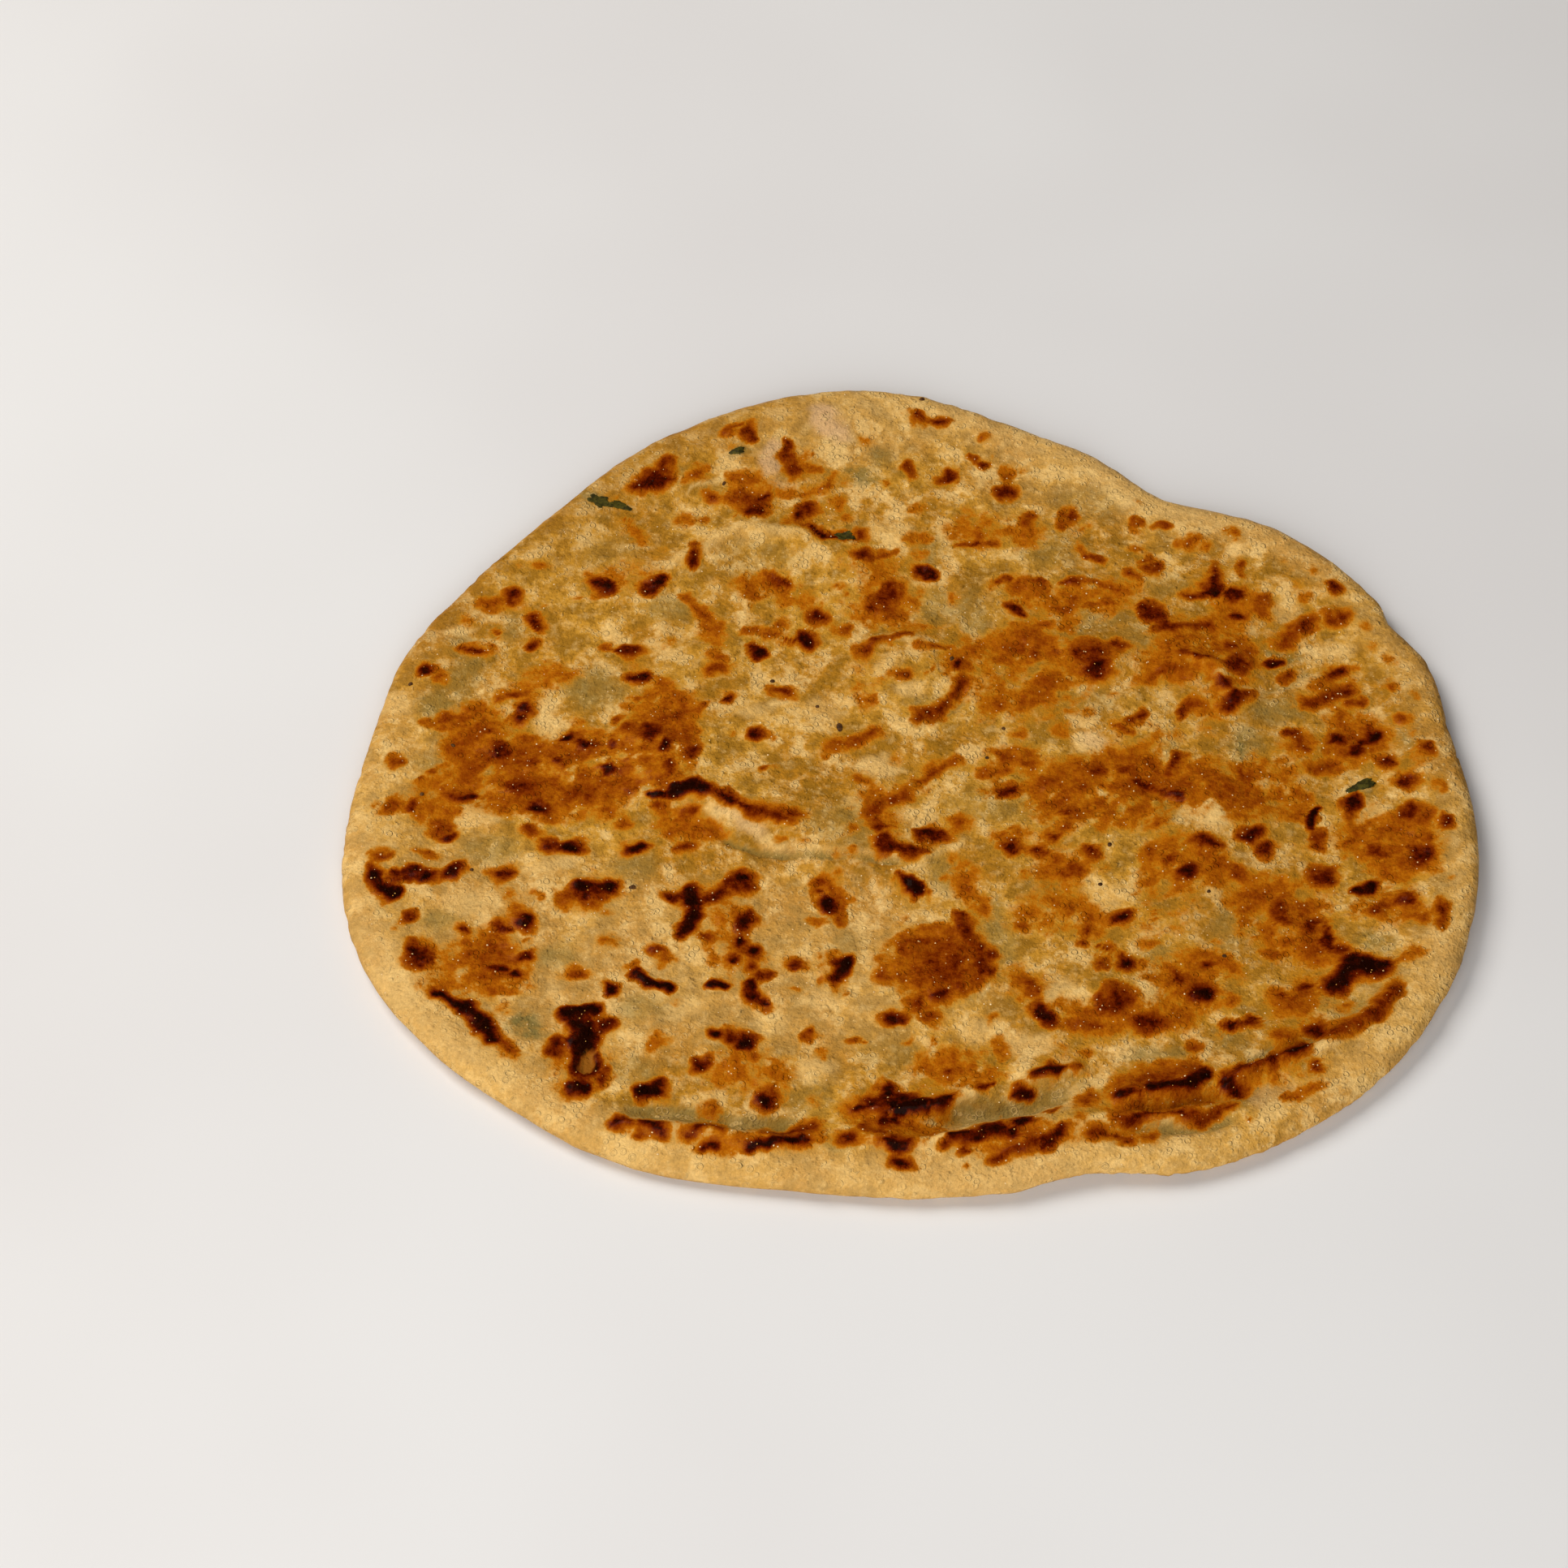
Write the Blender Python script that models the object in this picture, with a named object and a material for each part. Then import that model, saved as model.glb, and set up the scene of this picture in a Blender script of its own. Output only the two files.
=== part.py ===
"""A stuffed, griddle-fried flatbread (paratha): one hand-rolled disc of dough, lying flat.

The bread is a single solid.  Its outline is an oval that the rolling pin left uneven, its rim is a plump
rounded bead, and its upper face carries the pleats, the lapped seam and the lumps of the filling.  The
underside is flat where the bread rests and curls up a little at parts of the rim.

Units are metres, +Z is up.  The origin is the middle of the bounding box's base, and +X is the long way
of the oval.
"""

from math import acos, atan2, cos, degrees, exp, hypot, pi, radians, sin
from typing import NamedTuple

import bmesh
import bpy
from mathutils import Matrix, Vector

MM = 0.001  # every size below is in millimetres

# The rolled disc
HALF_WIDTH = 106.5
HALF_DEPTH = 98.0
DOUGH_THICKNESS = 3.7

# The rim, which never meets the griddle and stays plump
RIM_ROUNDING = 3.4
BEAD_HEIGHT = 0.8
BEAD_INSET = 6.0
BEAD_SPREAD = 5.0

# How the upper relief dies away towards the rim, and how far in a lifted edge reaches
RELIEF_STARTS = 2.0
RELIEF_FULL = 10.0
LIFT_REACH = 46.0

# The grid of the solid: rings from the middle of the crust, round the rim, to the middle below
SECTORS = 112
CRUST_RINGS = 26
RIM_RINGS = 6
UNDERSIDE_RINGS = 8
RINGS = CRUST_RINGS + RIM_RINGS + UNDERSIDE_RINGS
RING_CROWDING = 0.78  # under 1 crowds the crust's rings towards the rim, where the pleats are

# The finish
CRUST_COLOUR = (0.46, 0.24, 0.075, 1.0)
CRUST_ROUGHNESS = 0.5


class EdgeSwell(NamedTuple):
    """A stretch of the rim that bulges out (or, with a negative reach, draws in)."""

    bearing: float
    spread: float
    reach: float


class EdgeLift(NamedTuple):
    """A stretch of the rim that curls up off the table."""

    bearing: float
    spread: float
    height: float


class Swell(NamedTuple):
    """An oval rise of the crust, or a dip where the height is negative."""

    x: float
    y: float
    length: float
    width: float
    turn: float
    height: float


class Fold(NamedTuple):
    """A pleat along a path: its right-hand side, looking along the path, is the steep one."""

    path: tuple
    height: float
    steep: float
    easy: float


EDGE_SWELLS = (
    EdgeSwell(bearing=-150.0, spread=27.0, reach=8.5),
    EdgeSwell(bearing=-120.0, spread=12.0, reach=3.0),
    EdgeSwell(bearing=-72.0, spread=6.0, reach=-2.5),
    EdgeSwell(bearing=-61.0, spread=8.0, reach=1.2),
    EdgeSwell(bearing=-42.0, spread=24.0, reach=9.0),
    EdgeSwell(bearing=-20.0, spread=14.0, reach=2.0),
    EdgeSwell(bearing=4.0, spread=9.0, reach=-2.2),
    EdgeSwell(bearing=18.5, spread=3.2, reach=-2.6),
    EdgeSwell(bearing=30.0, spread=12.0, reach=-4.0),
    EdgeSwell(bearing=52.0, spread=14.0, reach=-14.8),
    EdgeSwell(bearing=74.0, spread=13.0, reach=-7.5),
    EdgeSwell(bearing=145.0, spread=24.0, reach=-8.5),
    EdgeSwell(bearing=166.0, spread=6.0, reach=1.2),
    EdgeSwell(bearing=178.0, spread=16.0, reach=-3.2),
)

EDGE_LIFTS = (
    EdgeLift(bearing=-8.0, spread=30.0, height=2.6),
    EdgeLift(bearing=34.0, spread=14.0, height=1.2),
    EdgeLift(bearing=-72.0, spread=9.0, height=1.3),
    EdgeLift(bearing=92.0, spread=22.0, height=1.0),
    EdgeLift(bearing=150.0, spread=26.0, height=1.5),
    EdgeLift(bearing=-148.0, spread=16.0, height=0.9),
)

# Broad waves of the sheet, then the lumps of onion and potato under the crust
SWELLS = (
    Swell(x=-62.0, y=-28.0, length=34.0, width=22.0, turn=20.0, height=0.9),
    Swell(x=-12.0, y=4.0, length=36.0, width=18.0, turn=-8.0, height=0.8),
    Swell(x=44.0, y=-20.0, length=32.0, width=16.0, turn=12.0, height=0.9),
    Swell(x=38.0, y=46.0, length=34.0, width=14.0, turn=-24.0, height=0.9),
    Swell(x=4.0, y=-58.0, length=40.0, width=12.0, turn=4.0, height=0.7),
    Swell(x=82.0, y=6.0, length=16.0, width=28.0, turn=0.0, height=-0.7),
    Swell(x=-20.0, y=-34.0, length=30.0, width=9.0, turn=-12.0, height=-0.6),
    Swell(x=14.0, y=-80.0, length=22.0, width=4.0, turn=14.0, height=-0.9),
    Swell(x=-66.0, y=56.0, length=22.0, width=10.0, turn=38.0, height=-0.5),
    Swell(x=0.0, y=21.0, length=9.0, width=8.0, turn=0.0, height=1.3),
    Swell(x=61.0, y=18.0, length=10.0, width=8.0, turn=-50.0, height=1.4),
    Swell(x=58.0, y=-13.0, length=8.0, width=5.0, turn=-15.0, height=1.1),
    Swell(x=-49.0, y=3.0, length=9.0, width=6.0, turn=20.0, height=0.9),
    Swell(x=-15.0, y=87.0, length=8.0, width=5.0, turn=-60.0, height=0.9),
    Swell(x=-27.0, y=77.0, length=9.0, width=4.0, turn=75.0, height=0.8),
    Swell(x=36.0, y=26.0, length=8.0, width=7.0, turn=0.0, height=0.9),
    Swell(x=5.0, y=-48.0, length=12.0, width=10.0, turn=0.0, height=0.7),
    Swell(x=37.0, y=-57.0, length=11.0, width=6.0, turn=-10.0, height=1.0),
    Swell(x=64.0, y=44.0, length=12.0, width=6.0, turn=-10.0, height=0.9),
)

# The lapped seam across the middle, the ripples behind the near rim, and the crease of the upper left
FOLDS = (
    Fold(
        path=((-56.0, -9.0), (-43.0, -6.5), (-33.0, -10.5), (-24.0, -15.5), (-12.0, -20.5), (4.0, -24.0)),
        height=2.3, steep=4.2, easy=9.0,
    ),
    Fold(
        path=((-60.0, -83.0), (-40.0, -85.0), (-18.0, -87.0), (2.0, -87.5), (22.0, -84.5), (40.0, -82.5), (60.0, -79.0)),
        height=1.6, steep=3.0, easy=3.6,
    ),
    Fold(
        path=((26.0, -80.0), (40.0, -77.5), (52.0, -74.0), (66.0, -69.0), (80.0, -60.0)),
        height=1.6, steep=3.2, easy=4.0,
    ),
    Fold(
        path=((-18.0, -79.5), (-4.0, -79.0), (10.0, -77.0), (24.0, -72.0), (34.0, -70.0)),
        height=1.2, steep=3.2, easy=4.5,
    ),
    Fold(
        path=((-4.0, 40.0), (-10.0, 51.0), (-20.0, 58.0), (-34.0, 60.0), (-44.0, 52.0), (-58.0, 42.0)),
        height=1.3, steep=3.6, easy=9.0,
    ),
    Fold(
        path=((30.0, 26.0), (44.0, 22.0), (54.0, 27.0), (62.0, 24.0), (68.0, 14.0)),
        height=1.0, steep=3.6, easy=5.0,
    ),
)


def bearing_gap(bearing: float, other: float) -> float:
    """Smallest turn in degrees from one bearing to another."""
    return (bearing - other + 180.0) % 360.0 - 180.0


def bell(offset: float, spread: float) -> float:
    """Smooth bump: 1 at no offset, fading to nothing past twice the spread."""
    return exp(-((offset / spread) ** 2))


def smooth_step(low: float, high: float, value: float) -> float:
    """Rise from 0 at the low value to 1 at the high one, level at both ends."""
    share = min(max((value - low) / (high - low), 0.0), 1.0)
    return share * share * (3.0 - 2.0 * share)


def edge_radius(bearing: float) -> float:
    """Distance from the middle to the rim: an oval with the swells that rolling left."""
    across = HALF_DEPTH * cos(radians(bearing))
    along = HALF_WIDTH * sin(radians(bearing))
    oval = HALF_WIDTH * HALF_DEPTH / hypot(across, along)
    return oval + sum(s.reach * bell(bearing_gap(bearing, s.bearing), s.spread) for s in EDGE_SWELLS)


def edge_lift(bearing: float, inset: float) -> float:
    """Height of the underside: zero over the resting face, curling up at the lifted edges."""
    curl = max(0.0, 1.0 - inset / LIFT_REACH) ** 2
    return curl * sum(e.height * bell(bearing_gap(bearing, e.bearing), e.spread) for e in EDGE_LIFTS)


def swell_height(swell: Swell, spot: Vector) -> float:
    """Height that one oval rise adds at a spot."""
    offset = Matrix.Rotation(-radians(swell.turn), 2) @ (spot - Vector((swell.x, swell.y)))
    return swell.height * bell(offset.x, swell.length) * bell(offset.y, swell.width)


def fold_height(fold: Fold, spot: Vector) -> float:
    """Height that one pleat adds at a spot: full along its path, fading at its two ends."""
    corners = [Vector(corner) for corner in fold.path]
    length = sum((b - a).length for a, b in zip(corners, corners[1:]))
    walked = 0.0
    nearest = None
    for start, end in zip(corners, corners[1:]):
        run = end - start
        share = min(max((spot - start).dot(run) / run.length_squared, 0.0), 1.0)
        offset = spot - (start + run * share)
        if nearest is None or offset.length < nearest[0]:
            side = run.x * offset.y - run.y * offset.x
            nearest = (offset.length, side, (walked + run.length * share) / length)
        walked += run.length
    distance, side, along = nearest
    spread = fold.easy if side > 0.0 else fold.steep
    return fold.height * bell(distance, spread) * sin(pi * along) ** 0.6


def crust_relief(spot: Vector) -> float:
    """Height of all the waves, lumps and pleats at a spot of the upper face."""
    return sum(swell_height(s, spot) for s in SWELLS) + sum(fold_height(f, spot) for f in FOLDS)


def dough_point(bearing: float, reach: float, turn: float) -> Vector:
    """Place a point of the dough's skin, in millimetres.

    Args:
        bearing: Direction from the middle, in degrees from +X.
        reach: Share of the way from the middle to where the rim starts to round over.
        turn: How far round the rim the point is, from 0 on the crust to pi on the underside.
    """
    edge = edge_radius(bearing)
    level = (edge - RIM_ROUNDING) * reach
    inset = edge - level
    toward = Vector((cos(radians(bearing)), sin(radians(bearing))))
    base = edge_lift(bearing, inset)
    bead = BEAD_HEIGHT * bell(inset - BEAD_INSET, BEAD_SPREAD)
    relief = crust_relief(toward * level) * smooth_step(RELIEF_STARTS, RELIEF_FULL, inset)
    thickness = DOUGH_THICKNESS + bead + relief
    flat = toward * (level + RIM_ROUNDING * sin(turn))
    return Vector((flat.x, flat.y, base + thickness * (1.0 + cos(turn)) / 2.0))


def ring_place(ring: int) -> tuple[float, float]:
    """Give the reach and the turn of one ring of the grid, counted from the middle of the crust."""
    if ring <= CRUST_RINGS:
        return (ring / CRUST_RINGS) ** RING_CROWDING, 0.0
    past_crust = ring - CRUST_RINGS
    if past_crust <= RIM_RINGS:
        return 1.0, pi * past_crust / RIM_RINGS
    return 1.0 - (past_crust - RIM_RINGS) / UNDERSIDE_RINGS, pi


def shape_dough() -> bmesh.types.BMesh:
    """Shape a ball's grid of rings and sectors into the flat bread, with its origin at the base's middle."""
    dough = bmesh.new()
    bmesh.ops.create_uvsphere(dough, u_segments=SECTORS, v_segments=RINGS, radius=1.0)
    for point in dough.verts:
        ring = round(acos(min(max(point.co.z, -1.0), 1.0)) * RINGS / pi)
        bearing = degrees(atan2(point.co.y, point.co.x))
        point.co = dough_point(bearing, *ring_place(ring)) * MM
    middle = [
        (min(p.co[axis] for p in dough.verts) + max(p.co[axis] for p in dough.verts)) / 2.0 for axis in (0, 1)
    ]
    bmesh.ops.translate(dough, verts=dough.verts, vec=Vector((-middle[0], -middle[1], 0.0)))
    bmesh.ops.triangulate(dough, faces=dough.faces)
    bmesh.ops.recalc_face_normals(dough, faces=dough.faces)
    return dough


def browned_dough() -> bpy.types.Material:
    """Make the plain finish of the solid: golden brown dough with a trace of ghee."""
    finish = bpy.data.materials.new("browned_dough")
    finish.use_nodes = True
    shader = finish.node_tree.nodes["Principled BSDF"]
    shader.inputs["Base Color"].default_value = CRUST_COLOUR
    shader.inputs["Roughness"].default_value = CRUST_ROUGHNESS
    shader.inputs["Metallic"].default_value = 0.0
    return finish


def add_paratha() -> None:
    """Add the bread to the scene as one named object."""
    dough = shape_dough()
    mesh = bpy.data.meshes.new("paratha")
    dough.to_mesh(mesh)
    dough.free()
    mesh.shade_smooth()
    mesh.materials.append(browned_dough())
    bpy.context.scene.collection.objects.link(bpy.data.objects.new("paratha", mesh))


def main() -> None:
    """Empty the scene and build the bread."""
    for leftover in list(bpy.data.objects):
        bpy.data.objects.remove(leftover)
    add_paratha()


main()
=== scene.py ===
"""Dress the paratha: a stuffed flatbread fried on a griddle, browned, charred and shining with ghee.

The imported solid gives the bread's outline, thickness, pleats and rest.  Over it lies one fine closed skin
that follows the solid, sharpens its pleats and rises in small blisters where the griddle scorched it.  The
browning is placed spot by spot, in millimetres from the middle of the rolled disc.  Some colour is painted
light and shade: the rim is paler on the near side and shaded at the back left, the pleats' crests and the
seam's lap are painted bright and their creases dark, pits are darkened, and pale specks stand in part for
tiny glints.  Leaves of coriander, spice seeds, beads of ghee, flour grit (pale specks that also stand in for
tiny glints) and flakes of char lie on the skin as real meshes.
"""

from __future__ import annotations

import logging
import math
from dataclasses import dataclass
from enum import Enum
from typing import NamedTuple, Union

import bmesh
import bpy
import numpy as np
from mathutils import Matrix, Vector
from mathutils.bvhtree import BVHTree


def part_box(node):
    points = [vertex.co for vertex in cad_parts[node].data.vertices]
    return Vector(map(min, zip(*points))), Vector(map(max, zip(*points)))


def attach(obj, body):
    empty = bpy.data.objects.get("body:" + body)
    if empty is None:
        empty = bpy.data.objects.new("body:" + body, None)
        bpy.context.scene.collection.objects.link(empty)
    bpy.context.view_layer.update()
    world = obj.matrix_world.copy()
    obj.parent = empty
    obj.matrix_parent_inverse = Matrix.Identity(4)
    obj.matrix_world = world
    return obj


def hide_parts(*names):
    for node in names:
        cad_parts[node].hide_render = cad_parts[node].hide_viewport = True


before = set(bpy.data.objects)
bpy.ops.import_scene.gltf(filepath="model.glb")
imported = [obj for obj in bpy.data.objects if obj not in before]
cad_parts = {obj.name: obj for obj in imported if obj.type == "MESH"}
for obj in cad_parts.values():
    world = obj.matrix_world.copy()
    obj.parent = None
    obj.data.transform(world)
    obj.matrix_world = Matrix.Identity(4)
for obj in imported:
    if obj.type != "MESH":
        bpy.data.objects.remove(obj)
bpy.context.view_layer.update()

LOG = logging.getLogger("paratha")
NODE = "paratha"
MM = 0.001
DISC_MIDDLE = (0.2, 0.6)  # where the middle of the rolled disc lies in the row frame, in mm


class Spot(NamedTuple):
    """One oval mark on the crust: middle, half length, half width, turn in degrees and strength."""

    x: float
    y: float
    length: float
    width: float
    turn: float
    strength: float


class Streak(NamedTuple):
    """One long mark that follows a path: its half width and strength."""

    width: float
    strength: float
    path: tuple


class Pleat(NamedTuple):
    """A crest along a path (a crease where the rise is negative), steep on the path's right-hand side."""

    rise: float
    steep: float
    easy: float
    path: tuple


class Tint(Enum):
    """What colours the dough apart from browning, some of it painted light: the cream tint also paints lit crests and
    the seam's bright lap, the olive tint shaded creases and the deep tint the shade at the back-left rim; the value
    names the mesh attribute.
    """

    AMBER = "amber"
    CREAM_AND_HIGHLIGHT = "cream"
    OLIVE_AND_SHADE = "olive"
    GREEN = "green"
    ONION = "onion"
    PALE = "pale"
    DEEP_TONE_AND_SHADE = "deep"


# Scorched spots of the upper face, region by region: x, y, half length, half width, turn, how burnt.
SCORCHES = {
    "upper left edge": (
        (-60.3, 43.5, 3.0, 2.0, -40, 0.85), (-53.5, 57, 3.0, 1.5, -50, 0.38), (-72.5, 48, 1.5, 1.3, 0, 0.42),
        (-78, 49.5, 1.0, 1.0, 0, 0.4), (-51, 71.6, 4.2, 2.0, 15, 0.8), (-48, 75.5, 1.3, 2.2, 0, 0.72),
        (-42, 73.5, 2.2, 1.3, 50, 0.5), (-38, 67, 1.6, 1.2, -40, 0.68), (-44, 60.5, 1.4, 1.2, 0, 0.42),
        (-42.2, 50.4, 1.2, 2.2, -20, 0.78), (-41, 53.5, 1.0, 1.6, -20, 0.5), (-50, 43.8, 4.0, 1.7, 40, 0.8),
    ),
    "back": (
        (-31, 65.5, 4.4, 3.4, -38, 0.6), (-30, 63.3, 2.0, 1.5, 0, 0.76), (-28.5, 66.5, 1.6, 1.0, 30, 0.7),
        (-33.5, 72, 2.4, 1.4, -40, 0.42), (-34.5, 86, 2.8, 1.1, 40, 0.58), (-31.2, 84, 1.3, 2.6, 10, 0.7),
        (-31, 88, 1.6, 1.0, 60, 0.5), (-23.2, 79, 1.3, 4.2, 8, 0.62), (-22.3, 74.5, 1.3, 1.8, 20, 0.72),
        (-18.8, 75, 2.6, 1.1, -25, 0.52), (-19.5, 63, 2.6, 1.8, 30, 0.74), (-8.5, 57, 1.2, 0.9, 0, 0.75),
        (-13, 65.3, 1.6, 2.6, 0, 0.36), (-11.5, 62, 1.0, 1.4, 0, 0.42), (-8.3, 51.3, 2.6, 1.6, -30, 0.68),
        (-3.5, 52, 2.0, 1.0, 20, 0.62), (4.3, 47, 2.8, 1.5, -5, 0.87), (3, 63.5, 1.8, 1.6, 0, 0.36),
        (3, 56, 2.6, 1.2, 0, 0.4), (1.3, 74, 1.2, 2.2, 5, 0.62), (9.4, 73, 1.5, 2.3, -15, 0.75),
        (-3.5, 70.5, 1.2, 1.2, 0, 0.34), (3.8, 89.2, 1.4, 1.2, 0, 0.64), (7.4, 88.2, 1.9, 1.1, -10, 0.7),
        (-7.5, 82.5, 1.2, 1.1, 0, 0.3), (-25.5, 44.6, 3.0, 1.7, -30, 0.64),
        (-13, 43.5, 0.9, 0.7, 0, 0.52), (-3.6, 41, 3.4, 2.6, 20, 0.74), (-5, 38.5, 3.2, 2.4, 0, 0.6),
    ),
    "back right": (
        (14.4, 77.8, 1.3, 0.8, -30, 0.55), (16.8, 76.4, 1.7, 1.2, -35, 0.68), (20.8, 68.8, 1.7, 1.4, 0, 0.76),
        (21, 73, 1.6, 2.6, 0, 0.4), (24.5, 61, 2.7, 1.8, 20, 0.52), (23, 56.8, 1.8, 1.4, 0, 0.4),
        (14.3, 57.5, 1.5, 2.2, 0, 0.5), (33.3, 62, 1.6, 1.1, 45, 0.62), (31.8, 59.6, 1.6, 1.2, 0, 0.5),
        (35, 53.3, 1.1, 1.2, 0, 0.46), (37.6, 50.7, 3.0, 1.1, -28, 0.66), (46.6, 60, 1.3, 1.5, 0, 0.6),
        (52, 59.3, 2.0, 0.9, 12, 0.58), (49.7, 48.5, 1.9, 1.9, 0, 0.66), (48, 50.6, 1.4, 0.9, 0, 0.5),
        (44.8, 46, 1.5, 0.9, -40, 0.64), (67, 58.4, 0.9, 2.0, 0, 0.54), (60.6, 43.8, 1.4, 3.8, -4, 0.8),
        (57.4, 41.6, 2.0, 1.1, 25, 0.68), (64.6, 41.1, 2.8, 1.4, -8, 0.82), (67, 48, 0.8, 2.0, 0, 0.5),
        (19.5, 45, 2.0, 1.0, 0, 0.62), (24, 43, 4.0, 2.4, 0, 0.44), (26.5, 44.4, 1.3, 0.9, 0, 0.6),
        (22, 37.3, 2.7, 1.3, -18, 0.74), (32.3, 44.4, 2.2, 1.1, 0, 0.7), (85.3, 43.6, 1.5, 2.3, -10, 0.8),
        (83.3, 35.3, 0.9, 1.2, 0, 0.62), (85.4, 35.6, 1.0, 1.5, -35, 0.7), (91, 34, 1.2, 1.2, 0, 0.5),
        (79.3, 41, 1.8, 1.2, 0, 0.3), (70.5, 38.5, 1.8, 3.4, 10, 0.5), (65.3, 35.6, 2.1, 1.0, -25, 0.77),
    ),
    "middle": (
        (48, 36.6, 3.0, 2.2, -30, 0.72), (50.3, 33.8, 2.2, 1.6, -40, 0.66), (36.3, 26.6, 3.6, 3.2, 0, 0.72),
        (37, 22.8, 2.8, 2.8, 0, 0.84), (41.4, 28, 1.8, 0.9, -10, 0.66), (33.4, 26.3, 1.6, 2.0, 0, 0.7),
        (25, 26, 1.4, 1.1, 0, 0.62), (17.5, 25, 2.0, 1.4, 0, 0.46), (10.5, 22.6, 0.8, 1.2, 0, 0.85),
        (63.3, 28, 1.7, 1.5, 0, 0.66), (64.6, 23, 2.4, 2.8, 0, 0.72), (71.4, 23.8, 1.8, 1.2, 0, 0.84),
        (61.4, 18, 0.9, 2.4, 14, 0.8), (63.2, 14, 2.3, 1.8, 20, 0.86), (66, 15.4, 1.6, 1.2, 30, 0.72),
        (45, 10.9, 1.7, 1.5, 20, 0.74), (43, 9.4, 1.2, 0.8, 0, 0.6), (41.5, 7, 1.8, 0.6, -35, 0.58),
        (30, 6.5, 1.3, 1.8, 0, 0.36), (27, 33, 2.6, 1.7, 30, 0.48), (38.3, 39.4, 3.6, 1.0, 15, 0.5),
        (33, 38, 1.4, 1.0, 0, 0.42), (22.3, 14.3, 1.6, 2.2, -30, 0.52), (18.8, -7.8, 1.9, 1.4, 10, 0.76),
        (36.2, -3.8, 2.6, 1.8, 10, 0.7), (33, -7, 2.0, 1.4, 30, 0.56), (27, -5, 3.0, 1.3, 15, 0.52),
        (42, -2, 2.4, 1.0, 30, 0.62), (39, 1.6, 1.0, 0.8, 0, 0.5), (60.5, -8.2, 1.8, 1.2, -30, 0.6),
        (63.4, -4.2, 1.2, 2.2, 0, 0.56), (28.6, -13, 1.5, 1.0, -30, 0.68), (57, -6, 2.4, 1.6, -20, 0.52),
        (-1.3, 21, 1.5, 1.0, 20, 0.54), (-11.5, 32.3, 1.4, 1.2, 0, 0.52), (-17.2, 35.7, 1.2, 1.8, 35, 0.87),
        (-28.8, 26.4, 2.0, 1.5, -40, 0.9), (-19.8, 29, 1.9, 2.0, 0, 0.94), (-23, 28.6, 1.6, 0.7, 10, 0.66),
        (-24.5, 34, 2.0, 1.8, 0, 0.38), (-37.3, 21.6, 2.3, 1.6, 20, 0.6), (-34.8, 15, 1.3, 1.3, 0, 0.78),
        (-29.3, 6.3, 1.9, 1.8, 0, 0.78), (-29.5, 6.6, 0.8, 0.8, 0, 0.92), (-24.6, 16, 1.7, 0.7, -35, 0.7),
        (-13.7, 3, 1.8, 1.5, 0, 0.48), (-27.4, -2.3, 1.1, 0.8, 30, 0.62), (-9, -5.5, 2.0, 0.8, -20, 0.42),
        (-38, 31.5, 2.6, 2.6, 0, 0.5), (-7.4, 14.2, 1.2, 1.4, 0, 0.4), (9.3, -15.2, 1.3, 1.0, 0, 0.68),
    ),
    "left": (
        (-77.6, 41.2, 1.2, 1.8, -20, 0.74), (-87, 34.5, 1.5, 0.8, -40, 0.34), (-72.8, 34.2, 1.2, 2.2, 20, 0.8),
        (-80.5, 31.7, 1.0, 1.2, 0, 0.62), (-73, 28, 1.3, 1.5, 0, 0.74), (-84.5, 26.4, 2.0, 0.7, -8, 0.7),
        (-95, 22.7, 2.2, 1.5, -20, 0.87), (-90.5, 19.6, 1.4, 1.8, 0, 0.5), (-55, 26.5, 2.8, 1.2, -8, 0.78),
        (-59.5, 27.6, 1.6, 0.8, -10, 0.62), (-52.3, 19.7, 2.0, 1.2, -30, 0.93), (-70, 21, 4.0, 2.6, 10, 0.36),
        (-66.5, 20.5, 1.2, 1.6, -20, 0.48), (-74.4, 11.4, 1.5, 2.9, -30, 0.77), (-88.3, 9.6, 2.2, 1.4, 30, 0.62),
        (-92.5, 8.4, 1.8, 1.2, 0, 0.46), (-56.4, 9.7, 1.1, 1.0, 0, 0.68), (-49.6, 6.6, 1.9, 2.0, 0, 0.84),
        (-46.8, 3, 1.0, 2.0, 0, 0.8), (-46.3, -2.5, 1.4, 2.0, 0, 0.74), (-41.5, 1.5, 1.6, 2.6, -25, 0.62),
        (-40.3, 13, 2.0, 1.2, 40, 0.5), (-44, 10.5, 1.6, 1.6, 0, 0.6), (-53.3, 7.5, 1.8, 2.4, 0, 0.6),
        (-78.5, 2, 2.4, 1.8, -10, 0.77), (-81.8, 6.8, 1.4, 1.6, 0, 0.64), (-84.6, 3.8, 2.0, 1.3, 20, 0.62),
        (-74, -1, 2.4, 1.8, 0, 0.62), (-66, 5, 1.5, 1.0, -25, 0.94), (-62.6, 3.3, 2.2, 1.7, -20, 0.82),
        (-56.6, 3, 0.9, 1.5, 0, 0.7), (-67, -1, 1.4, 1.3, 0, 0.77), (-57.4, -2.3, 1.7, 1.2, 0, 0.81),
        (-98.6, -0.6, 2.0, 1.3, -20, 0.6), (-91, -3.8, 1.2, 0.9, 20, 0.64), (-93.5, -5.6, 1.6, 0.7, 0, 0.46),
        (-74.4, -6.5, 2.8, 2.6, 0, 0.73), (-84.4, -9.3, 2.0, 1.1, 0, 0.84), (-86, -9, 3.8, 2.6, 0, 0.6),
        (-88.4, -13, 1.6, 1.6, 0, 0.5), (-98.5, -11.2, 1.7, 1.2, 40, 0.56), (-95, -11, 1.4, 1.9, -20, 0.7),
        (-103.5, -10.5, 1.4, 0.6, 15, 0.42), (-71.5, -12.8, 1.5, 1.4, 0, 0.92), (-71, -12, 2.6, 2.2, 0, 0.7),
        (-62, -9, 3.2, 1.9, 10, 0.66), (-72, -17.2, 2.0, 1.3, -20, 0.62), (-87, -18.6, 1.5, 1.2, 0, 0.8),
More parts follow.
